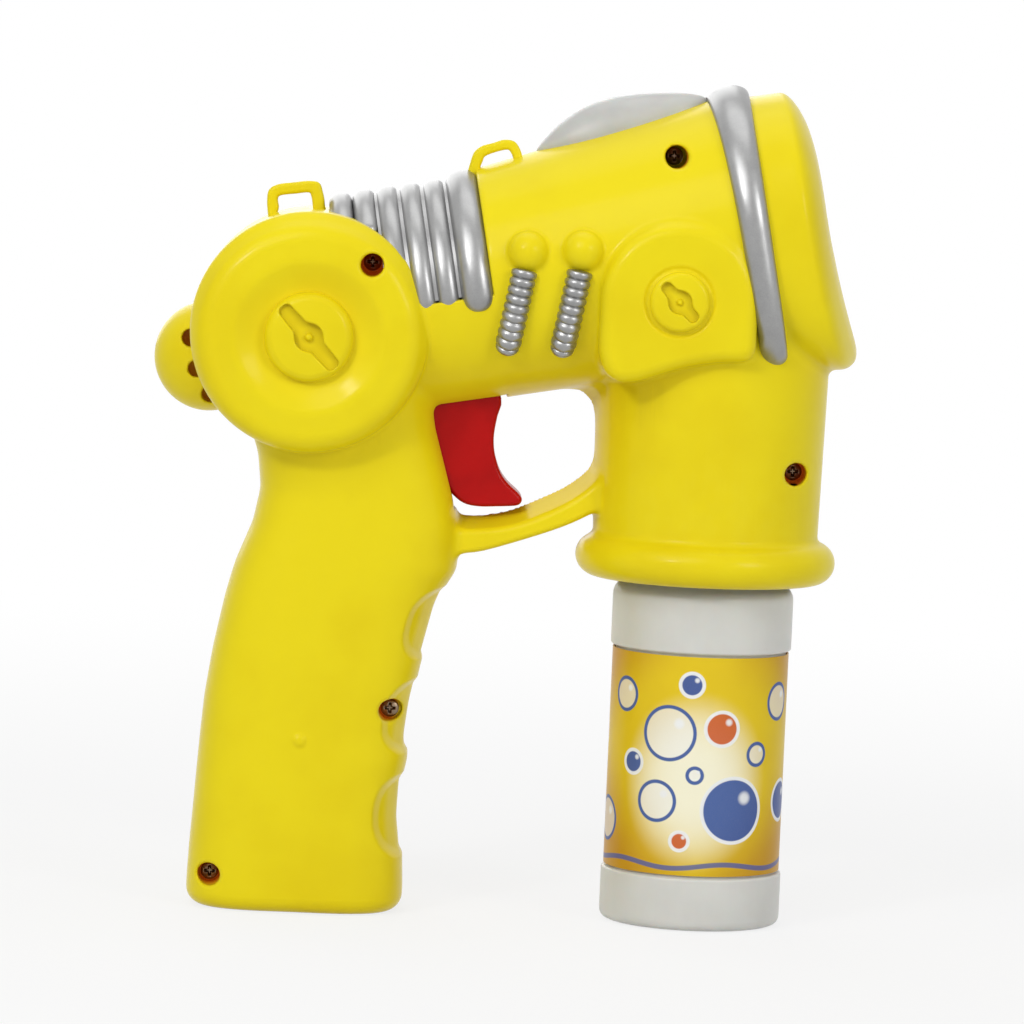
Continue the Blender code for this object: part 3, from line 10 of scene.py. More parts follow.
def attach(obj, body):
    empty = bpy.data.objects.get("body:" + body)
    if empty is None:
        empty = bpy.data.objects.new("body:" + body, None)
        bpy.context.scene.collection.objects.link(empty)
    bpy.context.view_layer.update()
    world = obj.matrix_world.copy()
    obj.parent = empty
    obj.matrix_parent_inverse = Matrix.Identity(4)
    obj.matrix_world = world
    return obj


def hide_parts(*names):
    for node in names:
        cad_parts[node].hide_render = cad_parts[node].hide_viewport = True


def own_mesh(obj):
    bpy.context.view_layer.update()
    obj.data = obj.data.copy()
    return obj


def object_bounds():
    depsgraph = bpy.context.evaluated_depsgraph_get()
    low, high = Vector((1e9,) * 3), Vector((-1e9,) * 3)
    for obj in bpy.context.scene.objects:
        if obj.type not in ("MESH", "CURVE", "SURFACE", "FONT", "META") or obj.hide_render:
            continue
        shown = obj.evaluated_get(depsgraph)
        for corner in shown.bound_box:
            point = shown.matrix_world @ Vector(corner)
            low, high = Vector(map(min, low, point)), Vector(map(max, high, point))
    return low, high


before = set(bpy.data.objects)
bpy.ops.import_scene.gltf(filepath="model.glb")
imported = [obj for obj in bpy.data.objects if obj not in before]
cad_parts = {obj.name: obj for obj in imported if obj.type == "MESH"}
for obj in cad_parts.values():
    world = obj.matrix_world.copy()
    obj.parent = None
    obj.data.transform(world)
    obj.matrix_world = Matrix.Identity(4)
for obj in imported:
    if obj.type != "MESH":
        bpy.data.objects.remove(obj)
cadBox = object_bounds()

mm = 0.001                                   # shapes below are in millimetres
coarse = 1.0          # wider cells while trying things
print("frame loaded:", len(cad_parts), "nodes")


class Value:                                 # a socket that can be used in an expression
    def __init__(self, owner, socket):
        self.owner = owner
        self.socket = socket

    def calc(self, operation, *others):
        sockets = dict(enumerate((self,) + others))
        return self.owner.node("ShaderNodeMath", {"operation": operation}, sockets)

    __add__ = __radd__ = partialmethod(calc, "ADD")
    __sub__ = partialmethod(calc, "SUBTRACT")
    __mul__ = __rmul__ = partialmethod(calc, "MULTIPLY")
    __truediv__ = partialmethod(calc, "DIVIDE")
    __pow__ = partialmethod(calc, "POWER")
    __abs__ = partialmethod(calc, "ABSOLUTE")
    least = partialmethod(calc, "MINIMUM")
    most = partialmethod(calc, "MAXIMUM")
    sine = partialmethod(calc, "SINE")

    def __rsub__(self, other):
        return self * -1 + other

    def ramp(self, low, high):               # 0 below low, 1 above high, smooth between
        sockets = {0: self, 1: low, 2: high, 3: 0.0, 4: 1.0}
        return self.owner.node("ShaderNodeMapRange", {"interpolation_type": "SMOOTHSTEP"}, sockets)


class Nodes:                                 # a node tree and what is added to it
    def __init__(self, tree):
        self.tree = tree

    def node(self, kind, settings=None, sockets=None, out=0):
        made = self.tree.nodes.new(kind)
        for key, value in (settings or {}).items():
            setattr(made, key, value)
        for key, value in (sockets or {}).items():
            if isinstance(value, Value):
                self.tree.links.new(value.socket, made.inputs[key])
            else:
                made.inputs[key].default_value = value
        return Value(self, made.outputs[out])

    def seenRays(self):
        # 1 for rays from the camera and for those mirrored or let through by a piece
        rays = self.node("ShaderNodeLightPath").socket.node.outputs
        kinds = ("Is Camera Ray", "Is Glossy Ray", "Is Transmission Ray")
        camera, mirrored, through = (Value(self, rays[k]) for k in kinds)
        return camera.most(mirrored).most(through)


class Finish(Nodes):                         # one material: a shader and the nodes that feed it
    def __init__(self, name, **fixed):
        self.material = bpy.data.materials.new(name)
        self.material.use_nodes = True
        super().__init__(self.material.node_tree)
        self.shader = self.tree.nodes["Principled BSDF"]
        for socket, value in fixed.items():
            self.shader.inputs[socket.replace("_", " ")].default_value = value

    def place(self):                         # where on the piece, in metres
        return self.node("ShaderNodeTexCoord", out="Object")

    def sheet(self):                         # how far across and up the piece's UV map
        across = self.node("ShaderNodeSeparateXYZ", None, {0: self.node("ShaderNodeTexCoord", out="UV")})
        return across, Value(self, across.socket.node.outputs["Y"])

    def tone(self, name):                    # an amount stored at each point of the piece
        return self.node("ShaderNodeAttribute", {"attribute_name": name}, out="Fac")

    def stretched(self, scale, turn=(0, 0, 0)):
        return self.node("ShaderNodeMapping", None, {0: self.place(), 2: turn, 3: scale})

    def noise(self, size, detail=2.0, rough=0.5, at=None):
        sockets = {"Vector": at or self.place(), "Scale": 1 / (size * mm), "Detail": detail,
                   "Roughness": rough}
        return self.node("ShaderNodeTexNoise", None, sockets)

    def cells(self, size):                   # a colour for each of many small cells
        sockets = {"Vector": self.place(), "Scale": 1 / (size * mm)}
        return self.node("ShaderNodeTexVoronoi", None, sockets, "Color")

    def mix(self, first, second, share):     # colours, or Values that hold one
        colour = [c if isinstance(c, Value) else (*c, 1.0) for c in (first, second)]
        return self.node("ShaderNodeMix", {"data_type": "RGBA"}, {0: share, 6: colour[0], 7: colour[1]}, 2)

    def bump(self, height, strength, depth):
        sockets = {"Height": height, "Strength": strength, "Distance": depth * mm}
        return self.node("ShaderNodeBump", None, sockets)

    def feed(self, **sockets):
        for socket, value in sockets.items():
            self.tree.links.new(value.socket, self.shader.inputs[socket.replace("_", " ")])


# below, the colour for down holes is painted shade, the faint colour for light through the wall is a painted
# glow, and the crease factor sets how dark the painted crease shade is
plastic = {"yellow": {"light": (0.85, 0.70, 0.008), "deep": (0.80, 0.635, 0.006), "pale": (0.88, 0.77, 0.05)},
           "red": {"light": (0.47, 0.003, 0.003), "deep": (0.38, 0.002, 0.002), "pale": (0.55, 0.03, 0.025)},
           "paintedHoleShade": (0.72, 0.23, 0.006), "through": (0.085, 0.014, 0.001), "paintedCreaseShade": 0.55, "rough": 0.37}


def mouldedPlastic(name, tint, swirl):
    # glossy moulding: slow flow swirls, painted shade that darkens the creases, paler rubbed edges; down
    # narrow holes a painted shade turns the colour orange-red and a painted glow stands for light coming
    # through the wall;
    # the clear skin has haze, scuffs and a slight waviness
    finish = Finish(name, Specular_IOR_Level=0.2, IOR=1.3, Coat_IOR=1.22, Coat_Roughness=0.16,
                    Emission_Strength=1.0)
    crease, edge, hole = (finish.tone(k) for k in ("crease", "edge", "hole"))
    flow = finish.noise(swirl, 3.0, 0.55)
    haze = finish.noise(4.5, 4.0, 0.6)
    speck = finish.noise(0.55, 2.0, 0.5)
    streaks = finish.stretched((1.0, 1.0, 7.0), (0.3, 0.5, 0.2))
    scuff = finish.noise(2.0, 3.0, 0.7, streaks).ramp(0.64, 0.74)
    rubbed = edge * haze.ramp(0.35, 0.65)
    # painted shade: creases are mixed towards a darker copy of the deep colour
    paintedCreaseShade = tuple(plastic["paintedCreaseShade"] * v for v in tint["deep"])
    colour = finish.mix(tint["deep"], tint["light"], flow.ramp(0.30, 0.62) * 0.85 + speck * 0.15)
    colour = finish.mix(colour, paintedCreaseShade, crease * (0.25 + haze * 0.35))
    colour = finish.mix(colour, tint["pale"], rubbed * 0.12 + scuff * 0.08)
    # painted shade and painted glow: down holes the colour turns to a shaded orange-red and a faint emission
    # stands for light through the wall
    finish.feed(Base_Color=finish.mix(colour, plastic["paintedHoleShade"], hole),
                Emission_Color=finish.mix((0.0, 0.0, 0.0), plastic["through"], hole),
                Roughness=haze * 0.10 + speck * 0.05 + scuff * 0.14 + rubbed * 0.10 + plastic["rough"],
                Coat_Weight=0.40 + haze * 0.16 - scuff * 0.14 - rubbed * 0.08 - crease * 0.2,
                Normal=finish.bump(finish.noise(9.0, 1.0) * 0.07 + speck * 0.003, 1.0, 1.0))
    return finish.material


silverTint = {"dark": (0.25, 0.25, 0.252), "light": (0.42, 0.42, 0.415), "worn": (0.24, 0.235, 0.23)}


def silverLacquer():
    # satin lacquer over plastic: fine metal flakes, a cloudy coat and slightly worn patches
    finish = Finish("silverLacquer", IOR=1.5)
    flake = finish.node("ShaderNodeSeparateColor", None, {0: finish.cells(0.22)})
    cloud = finish.noise(6.0, 4.0, 0.6)
    worn = finish.noise(2.2, 5.0, 0.7).ramp(0.60, 0.78)
    tone = finish.mix(silverTint["dark"], silverTint["light"], flake * 0.15 + cloud * 0.75)
    finish.feed(Base_Color=finish.mix(tone, silverTint["worn"], worn * 0.35),
                Metallic=0.86 - worn * 0.18,
                Roughness=0.27 + cloud * 0.10 + flake * 0.04 + worn * 0.10,
                Normal=finish.bump(flake, 0.05, 0.05))
    return finish.material


frostTint = {"grey": (0.60, 0.60, 0.575), "white": (0.68, 0.68, 0.655)}


def frostedPlastic():
    # milky shell: fine blasted grain on the surface and a slow cloud inside it
    finish = Finish("frostedPlastic", Transmission_Weight=0.28, IOR=1.46, Subsurface_Weight=0.25,
                    Subsurface_Scale=0.004)
    grain = finish.noise(0.35, 2.0, 0.6)
    cloud = finish.noise(9.0, 3.0).ramp(0.3, 0.7)
    finish.feed(Base_Color=finish.mix(frostTint["grey"], frostTint["white"], cloud),
                Roughness=0.30 + grain * 0.16,
                Normal=finish.bump(grain, 0.10, 0.05))
    return finish.material


bottleTint = {"grey": (0.63, 0.63, 0.60), "white": (0.69, 0.69, 0.655)}


def bottlePlastic():
    # soft blown plastic: satin skin with faint upright draw lines
    finish = Finish("bottlePlastic", Subsurface_Weight=0.12, Subsurface_Scale=0.003, IOR=1.5)
    draw = finish.noise(1.6, 3.0, 0.5, finish.stretched((1.0, 1.0, 0.06)))
    cloud = finish.noise(11.0, 3.0)
    share = cloud.ramp(0.25, 0.7) * 0.7 + draw * 0.3
    finish.feed(Base_Color=finish.mix(bottleTint["grey"], bottleTint["white"], share),
                Roughness=0.30 + draw * 0.10 + cloud * 0.05,
                Normal=finish.bump(draw, 0.06, 0.12))
    return finish.material


labelDesign = {"around": 129.7, "height": 51.0,   # the sheet's size, in millimetres
               "amber": (0.56, 0.27, 0.014), "yellow": (0.82, 0.60, 0.012), "pale": (0.96, 0.93, 0.72),
               "blue": (0.012, 0.085, 0.36), "foam": (0.90, 0.92, 0.93), "coral": (0.62, 0.10, 0.02),
               "grain": (0.75, 0.55, 0.2), "warmFrom": (65, 30),
               "glow": (66, 22, 19, 22),              # place across, place up, half width, half height
               "wave": (2.2, 0.6, 0.242),             # height, rise, turn for each millimetre across
               # bubbles: place across, place up, radius, fill
               "bubbles": [(56.5, 15.5, 8.0, "blue"), (72.5, 33.0, 6.6, "foam"), (60.0, 34.5, 4.4, "coral"),
                           (75.0, 17.0, 5.0, "foam"), (82.0, 25.5, 3.2, "blue"), (50.5, 28.5, 3.0, "foam"),
                           (67.5, 44.5, 3.2, "blue"), (66.0, 23.5, 2.2, "foam"), (69.0, 8.0, 2.6, "coral"),
                           (85.5, 41.0, 4.2, "foam"), (43.0, 40.5, 4.6, "foam"), (39.0, 17.0, 5.2, "blue"),
                           (93.0, 11.0, 5.4, "foam"), (100.0, 31.0, 4.0, "coral"), (112.0, 15.0, 6.2, "blue"),
                           (118.0, 37.0, 6.4, "foam"), (27.0, 31.0, 4.0, "coral"), (14.0, 13.0, 6.0, "foam"),
                           (11.0, 37.0, 4.4, "blue")]}


def printedLabel():
    # warm gradient that turns amber towards the sides and bottom, partly print and partly painted shade where
    # the sleeve turns away, a pale patch at the front, ringed bubbles, a wavy line, a thin varnish and print
    # grain
    design = labelDesign
    finish = Finish("printedLabel", Coat_Roughness=0.12, IOR=1.2)
    across, up = finish.sheet()
    across = across * design["around"]
    up = up * design["height"]
    x, z, wide, high = design["glow"]
    glow = 1 - (((across - x) / wide) ** 2 + ((up - z) / high) ** 2).ramp(0.0, 1.0)
    # painted shade, partly print: amber grows away from the front middle towards the sides and bottom, where
    # the sleeve turns away
    x, z = design["warmFrom"]
    edge = (abs(across - x) * 0.62 + abs(up - z) * 0.75).ramp(16.0, 34.0)
    colour = finish.mix(design["yellow"], design["amber"], edge * 0.8 + finish.noise(9.0, 2.0) * 0.2)
    colour = finish.mix(colour, design["pale"], glow)
    for x, z, r, fill in design["bubbles"]:
        clear = fill == "foam"
        shineX, shineZ = x - r * 0.36, z + r * 0.36
        far = ((across - x) ** 2 + (up - z) ** 2) ** 0.5
        rim = 1 - abs(far - (r - 0.45)).ramp(0.28, 0.55)
        body = 1 - far.ramp(r - 0.6, r)
        shine = 1 - ((across - shineX) ** 2 + (up - shineZ) ** 2).ramp(0.0, r * r * 0.06)
        colour = finish.mix(colour, design[fill], body * (0.55 if clear else 0.94))
        colour = finish.mix(colour, design["blue" if clear else "foam"], rim * 0.95)
        colour = finish.mix(colour, design["foam"], shine * 0.9)
    height, rise, turn = design["wave"]
    band = (1 - abs(up - height - (across * turn).sine() * rise).ramp(0.45, 0.7)) * 0.8
    colour = finish.mix(colour, design["blue"], band)
    grain = finish.noise(0.25, 2.0)
    finish.feed(Base_Color=finish.mix(colour, design["grain"], grain * 0.06),
                Roughness=0.28 + grain * 0.10,
                Coat_Weight=0.02 + finish.noise(8.0) * 0.08,
                Normal=finish.bump(finish.noise(5.0, 2.0), 0.05, 0.2))
    return finish.material


def bareMetal(name, light, dark, rough):
    # drawn metal: brushing along one way, dull spots and a little tarnish
    finish = Finish(name, Metallic=1.0)
    brush = finish.noise(0.5, 3.0, 0.6, finish.stretched((1.0, 0.12, 1.0)))
    spot = finish.noise(1.3, 4.0, 0.65).ramp(0.55, 0.75)
    finish.feed(Base_Color=finish.mix(light, dark, spot * 0.6 + brush * 0.3),
                Roughness=rough + brush * 0.14 + spot * 0.16,
                Normal=finish.bump(brush, 0.06, 0.05))
    return finish.material


def plainMoulding(name, light, dark, rough, grainSize=0.4, **fixed):
    # small inner mouldings: fine spark-eroded grain, soft cloudiness
    finish = Finish(name, **fixed)
    grain = finish.noise(grainSize, 3.0, 0.6)
    cloud = finish.noise(5.0, 3.0)
    finish.feed(Base_Color=finish.mix(dark, light, cloud.ramp(0.25, 0.7) * 0.7 + grain * 0.3),
                Roughness=rough + grain * 0.15,
                Normal=finish.bump(grain, 0.12, 0.05))
    return finish.material


cellTint = {"film": (0.02, 0.02, 0.022), "band": (0.30, 0.14, 0.03), "metal": (0.62, 0.62, 0.63)}


def cellWrap():
    # a cell's sleeve: dark film with one coloured end band and bare metal at both ends
    finish = Finish("cellWrap", IOR=1.5)
    along = finish.sheet()[1]
    metal = (1 - along.ramp(0.012, 0.016)) + along.ramp(0.958, 0.962)
    crease = finish.noise(3.0, 4.0, 0.6)
    film = finish.mix(cellTint["film"], cellTint["band"], along.ramp(0.70, 0.703))
    finish.feed(Base_Color=finish.mix(film, cellTint["metal"], metal),
                Metallic=metal.least(1.0),
                Roughness=0.30 + crease * 0.12,
                Normal=finish.bump(crease, 0.10, 0.15))
    return finish.material


looks = {
    "yellow": mouldedPlastic("yellowPlastic", plastic["yellow"], 30.0),
    "red": mouldedPlastic("redPlastic", plastic["red"], 14.0),
    "silver": silverLacquer(),
    "frost": frostedPlastic(),
    "bottle": bottlePlastic(),
    "label": printedLabel(),
    "steel": bareMetal("screwSteel", (0.26, 0.19, 0.13), (0.10, 0.065, 0.04), 0.26),
    "brass": bareMetal("brassStrip", (0.70, 0.50, 0.20), (0.42, 0.28, 0.10), 0.26),
    "can": bareMetal("motorCan", (0.66, 0.66, 0.67), (0.45, 0.45, 0.46), 0.30),
    "nylon": plainMoulding("nylonGear", (0.74, 0.73, 0.68), (0.62, 0.61, 0.56), 0.38, 0.5,
                           Subsurface_Weight=0.1, Subsurface_Scale=0.002),
    "black": plainMoulding("blackPlastic", (0.035, 0.035, 0.037), (0.018, 0.018, 0.02), 0.40),
    "hose": plainMoulding("clearHose", (0.70, 0.72, 0.70), (0.58, 0.61, 0.60), 0.18, 0.8,
                          Transmission_Weight=0.4),
    "rubber": plainMoulding("sealRubber", (0.06, 0.06, 0.06), (0.03, 0.03, 0.03), 0.58, 0.3),
    "board": plainMoulding("circuitBoard", (0.03, 0.20, 0.08), (0.015, 0.12, 0.045), 0.30, 0.7),
    "cell": cellWrap(),
}
print("finishes:", len(looks))


# look, body and slot of the pieces that share them
yellowBody = ("yellow", "body", "yellow_plastic")
silverBody = ("silver", "body", "silver_plastic")
steelBody = ("steel", "body", "steel")
seams = {"weld": 2e-7, "sharp": 38.0}        # metres between points that are one, degrees of a sharp edge


def placed(name, data):
    # an object of the scene that shows the data
    made = bpy.data.objects.new(name, data)
    bpy.context.scene.collection.objects.link(made)
    return made


def addPiece(name, points, faces, look, body, slot, nodes, uv=None, normals=None, tones=None):
    mesh = bpy.data.meshes.new(name)
    faces = np.ascontiguousarray(faces, np.int32)
    mesh.vertices.add(len(points))
    mesh.vertices.foreach_set("co", (np.asarray(points) * mm).astype(np.float32).ravel())
    mesh.loops.add(faces.size)
    mesh.loops.foreach_set("vertex_index", faces.ravel())
    mesh.polygons.add(len(faces))
    mesh.polygons.foreach_set("loop_start", np.arange(0, faces.size, faces.shape[1], dtype=np.int32))
    mesh.update(calc_edges=True)
    if uv is not None:
        layer = mesh.uv_layers.new(name="UVMap")
        layer.data.foreach_set("uv", np.asarray(uv, np.float32)[faces.ravel()].ravel())
    for tone, amount in (tones or {}).items():
        mesh.attributes.new(tone, "FLOAT", "POINT").data.foreach_set("value", amount.astype(np.float32))
    mesh.polygons.foreach_set("use_smooth", np.ones(len(faces), bool))
    piece = placed(name, mesh)
    if normals is None:                      # swept and turned pieces: close seams and poles
        bm = bmesh.new()
        bm.from_mesh(mesh)
        bmesh.ops.remove_doubles(bm, verts=bm.verts[:], dist=seams["weld"])
        bmesh.ops.recalc_face_normals(bm, faces=bm.faces[:])
        bm.to_mesh(mesh)
        bm.free()
        mesh.set_sharp_from_angle(angle=math.radians(seams["sharp"]))
    else:
        mesh.normals_split_custom_set_from_vertices(np.asarray(normals, np.float32))
    mesh.materials.append(looks[look])
    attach(piece, body)
    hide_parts(*nodes)
    return piece


def gridFaces(rows, columns, closeColumns=False):
    # quads of a grid of points numbered row by row
    index = np.arange(rows * columns).reshape(rows, columns)
    if closeColumns:
        index = np.hstack([index, index[:, :1]])
    return np.stack([index[:-1, :-1], index[1:, :-1], index[1:, 1:], index[:-1, 1:]], -1).reshape(-1, 4)


def capFaces(ring):
    # a ladder of quads from one half of an even ring to the other, to close a flat end
    first, other = np.array_split(ring, 2)
    other = other[::-1]
    return np.stack([first[:-1], first[1:], other[1:], other[:-1]], -1)


def sweptFaces(rows, columns):
    # quads over a row of closed rings, with a cap on both ends
    ring = np.arange(columns)
    caps = [capFaces(ring[::-1]), capFaces(ring + (rows - 1) * columns)]
    return np.vstack([gridFaces(rows, columns, True)] + caps)


def roundedLine(corners, steps=6):
    # corners are (a, b, radius): each is replaced by the quadratic curve between points cut back along its
    # two sides
    place = np.array([c[:2] for c in corners], float)
    line = [place[:1]]
    t = np.linspace(0, 1, steps)[:, None]
    for before, here, after, radius in zip(place, place[1:], place[2:], [c[2] for c in corners[1:-1]]):
        to, on = before - here, after - here
        cut = min(radius, np.hypot(*to) * 0.5, np.hypot(*on) * 0.5)
        a, b = here + to / np.hypot(*to) * cut, here + on / np.hypot(*on) * cut
        line.append((1 - t) ** 2 * a + 2 * t * (1 - t) * here + t ** 2 * b if radius > 0 else here[None])
    return np.vstack(line + [place[-1:]])


def turnedPiece(name, profile, centre, axis, look, body, slot, nodes, steps=96, withUv=False):
    # a profile of (radius, along) points turned about an axis; a closed profile repeats its first point
    profile = np.asarray(profile, float)
    axis = np.array(axis, float) / np.linalg.norm(axis)
    side = np.cross(axis, (0.0, 1.0, 0.0) if abs(axis[1]) < 0.9 else (0.0, 0.0, 1.0))
    side /= np.linalg.norm(side)
    other = np.cross(axis, side)
    angle = np.linspace(0, 2 * np.pi, steps + 1)
    around = np.cos(angle)[None, :, None] * side + np.sin(angle)[None, :, None] * other
    points = np.array(centre) + profile[:, :1, None] * around + profile[:, 1:, None] * axis
    uv = None
    if withUv:
        up = (profile[:, 1] - profile[:, 1].min()) / np.ptp(profile[:, 1])
        uv = np.stack(np.meshgrid(angle / (2 * np.pi), up), -1).reshape(-1, 2)
    addPiece(name, points.reshape(-1, 3), gridFaces(len(profile), steps + 1), look, body, slot, nodes, uv)


def smoothRoute(points, perSpan, closed=False):
    # points on the cubic curve that passes through the given ones
    p = np.asarray(points, float)
    p = np.vstack([p[-1:], p, p[:2]]) if closed else np.vstack([2 * p[0] - p[1], p, 2 * p[-1] - p[-2]])
    a, b, c, d = p[:-3, None], p[1:-2, None], p[2:-1, None], p[3:, None]
    t = (np.arange(perSpan) / perSpan)[None, :, None]
    curve = 0.5 * (2 * b + (c - a) * t + (2 * a - 5 * b + 4 * c - d) * t ** 2
                   + (3 * b - a - 3 * c + d) * t ** 3)
    curve = curve.reshape(-1, p.shape[1])
    return curve if closed else np.vstack([curve, p[-2:-1]])


def tubeGrid(path, radius, sides):
    # rings of the given radius at right angles to a path, each numbered from the way across it and the y axis
    path = np.asarray(path, float)
    way = np.gradient(path, axis=0)
    way /= np.linalg.norm(way, axis=1)[:, None]
    side = np.cross(way, (0.0, 1.0, 0.0))
    side /= np.linalg.norm(side, axis=1)[:, None]
    other = np.cross(way, side)
    angle = np.linspace(0, 2 * np.pi, sides, endpoint=False)[None, :, None]
    ring = np.cos(angle) * side[:, None] + np.sin(angle) * other[:, None]
    return path[:, None] + np.broadcast_to(np.asarray(radius, float), len(path))[:, None, None] * ring


def runLength(path):
    # how far along the path each of its points is
    return np.concatenate([[0], np.cumsum(np.linalg.norm(np.diff(path, axis=0), axis=1))])


def smoothTable(rows, low, high, step, spread, taps):
    # the columns of rows at even steps along the first one, blurred by a bell curve of the given spread
    rows = np.array(rows)
    along = np.arange(low, high, step)
    weight = np.exp(-0.5 * (np.arange(-taps, taps + 1) * step / spread) ** 2)
    columns = [np.interp(along, rows[:, 0], c) for c in rows.T[1:]]
    return along, [np.convolve(np.pad(c, taps, mode="edge"), weight / weight.sum(), "valid") for c in columns]


# the fields below are distances in millimetres, negative inside a shape

def shared(*shapes):                         # what several shapes share
    return reduce(np.maximum, shapes)


def softMin(a, b, blend):                    # two shapes together, with a fillet where they meet
    near = np.maximum(blend - np.abs(a - b), 0) / blend
    return np.minimum(a, b) - near * near * blend * 0.25


def softMax(a, b, blend):                    # what two shapes share, with a rounded edge
    return -softMin(-a, -b, blend)


def edgeRound(a, b, radius):                 # what two shapes share, with an edge of exactly that radius
    a, b = a + radius, b + radius
    return np.minimum(np.maximum(a, b), 0) + np.hypot(np.maximum(a, 0), np.maximum(b, 0)) - radius


def smoothStep(a, low, high):
    t = np.clip((a - low) / (high - low), 0, 1)
    return t * t * (3 - 2 * t)


def outlineDistance(x, z, outline):
    # distance to the nearest side of a closed outline, negative inside it; far from it, a lower bound
    reach = 9.0
    low, high = outline.min(0) - reach, outline.max(0) + reach
    far = np.maximum(np.maximum(low[0] - x, x - high[0]), np.maximum(low[1] - z, z - high[1])) + reach
    near = far < reach
    px, pz = x[near], z[near]
    best, inside = np.full(px.shape, 1e9), np.zeros(px.shape, bool)
    for (ax, az), (bx, bz) in zip(outline, np.roll(outline, -1, axis=0)):
        ex, ez, dx, dz = bx - ax, bz - az, px - ax, pz - az
        t = np.clip((dx * ex + dz * ez) / (ex * ex + ez * ez), 0, 1)
        best = np.minimum(best, (dx - t * ex) ** 2 + (dz - t * ez) ** 2)
        inside ^= ((az > pz) != (bz > pz)) & (dx < ex * dz / (ez + 1e-12))
    far[near] = np.where(inside, -1, 1) * np.sqrt(best)
    return far


def ovalDistance(a, b, halfA, halfB, power):
    # distance along the ray from the middle of an oval |a/halfA|^power + |b/halfB|^power = 1
    rho = ((np.abs(a) / halfA) ** power + (np.abs(b) / halfB) ** power) ** (1 / power)
    return np.hypot(a, b) * (1 - 1 / np.maximum(rho, 1e-4))


def fieldSlope(field, p, reach=0.03):
    # central differences of the field at each point
    slope = np.empty_like(p)
    for k in range(3):
        step = np.zeros(3)
        step[k] = reach
        slope[:, k] = (field(*(p + step).T) - field(*(p - step).T)) / (2 * reach)
    return slope


def ontoField(field, p, rounds, most):
    # Newton steps that put each point on the zero level
    for _ in range(rounds):
        slope = fieldSlope(field, p)
        size = np.maximum((slope ** 2).sum(1), 0.04)
        p = p - np.clip(field(*p.T) / size, -most, most)[:, None] * slope
    return p


def netSurface(field, low, high, cell):
    # a grid over the box, filled only in blocks near the surface; then one point in each cell that the
    # zero level crosses, at the mean of its edge crossings, and a quad round each crossed grid edge
    block = 4                                # cells along a block
    nearby = 1.9                             # blocks this many widths from the surface are filled
    unfilled = 99                            # stands for far off in the other blocks, with their sign
    batch = 400000                           # points worked on at a time
    low, high = np.array(low, float), np.array(high, float)
    count = np.ceil((high - low) / (cell * block)).astype(int) + 1
    axes = [low[k] + cell * np.arange(count[k] * block) for k in range(3)]
    middle = [low[k] + cell * (np.arange(count[k]) * block + (block - 1) / 2) for k in range(3)]
    rough = field(*[m.ravel() for m in np.meshgrid(*middle, indexing="ij")]).reshape(count)

    def spread(a):
        return a.repeat(block, 0).repeat(block, 1).repeat(block, 2)

    def corner(a, start):
        return a[tuple(slice(s, n - 1 + s) for s, n in zip(start, a.shape))]

    value = spread(np.sign(rough).astype(np.float32) * unfilled)
    i, j, k = np.nonzero(spread(np.abs(rough) < cell * block * nearby))
    filled = np.empty(len(i), np.float32)
    for part in np.array_split(np.arange(len(i)), max(1, len(i) // batch)):
        filled[part] = field(axes[0][i[part]], axes[1][j[part]], axes[2][k[part]])
    value[i, j, k] = filled
    inside = value < 0
    steps = [(a, b, c) for a in (0, 1) for b in (0, 1) for c in (0, 1)]
    total = sum(corner(inside, d).astype(np.uint8) for d in steps)
    cells = np.argwhere((total > 0) & (total < 8))
    index = np.full(total.shape, -1, np.int32)
    index[tuple(cells.T)] = np.arange(len(cells))
    place, crossed = np.zeros((len(cells), 3)), np.zeros(len(cells))
    for a in steps:
        for axis in range(3):
            if a[axis]:
                continue
            b = tuple(v + (axis == n) for n, v in enumerate(a))
            fa, fb = (value[tuple((cells + d).T)] for d in (a, b))
            cut = (fa < 0) != (fb < 0)
            t = np.where(cut, fa / np.where(cut, fa - fb, 1), 0)
            at = np.tile(np.array(a, float), (len(cells), 1))
            at[:, axis] = t
            place += at * cut[:, None]
            crossed += cut
    points = low + cell * (cells + place / crossed[:, None])
    faces = []
    for axis in range(3):
        u, v = (axis + 1) % 3, (axis + 2) % 3
        first = [slice(1, -1)] * 3
        first[axis] = slice(0, -1)
        second = list(first)
        second[axis] = slice(1, None)
        a, b = inside[tuple(first)], inside[tuple(second)]
        for starts in (True, False):
            e = np.argwhere((a != b) & (a == starts)) + [n != axis for n in range(3)]
            du, dv = np.eye(3, dtype=int)[u], np.eye(3, dtype=int)[v]
            quad = np.stack([index[tuple(c.T)] for c in (e - du - dv, e - dv, e, e - du)], -1)
            faces.append(quad if starts else quad[:, ::-1])
    return points, np.vstack(faces)


def evened(points, faces, rounds):
    # each point moves to the mean of its neighbours
    edge = np.vstack([faces[:, [k, (k + 1) % 4]] for k in range(4)])
    count = np.bincount(edge.ravel(), minlength=len(points))[:, None]
    for _ in range(rounds):
        total = np.stack([np.bincount(edge[:, 0], points[edge[:, 1], k], len(points))
                          + np.bincount(edge[:, 1], points[edge[:, 0], k], len(points))
                          for k in range(3)], -1)
        points = total / count
    return points


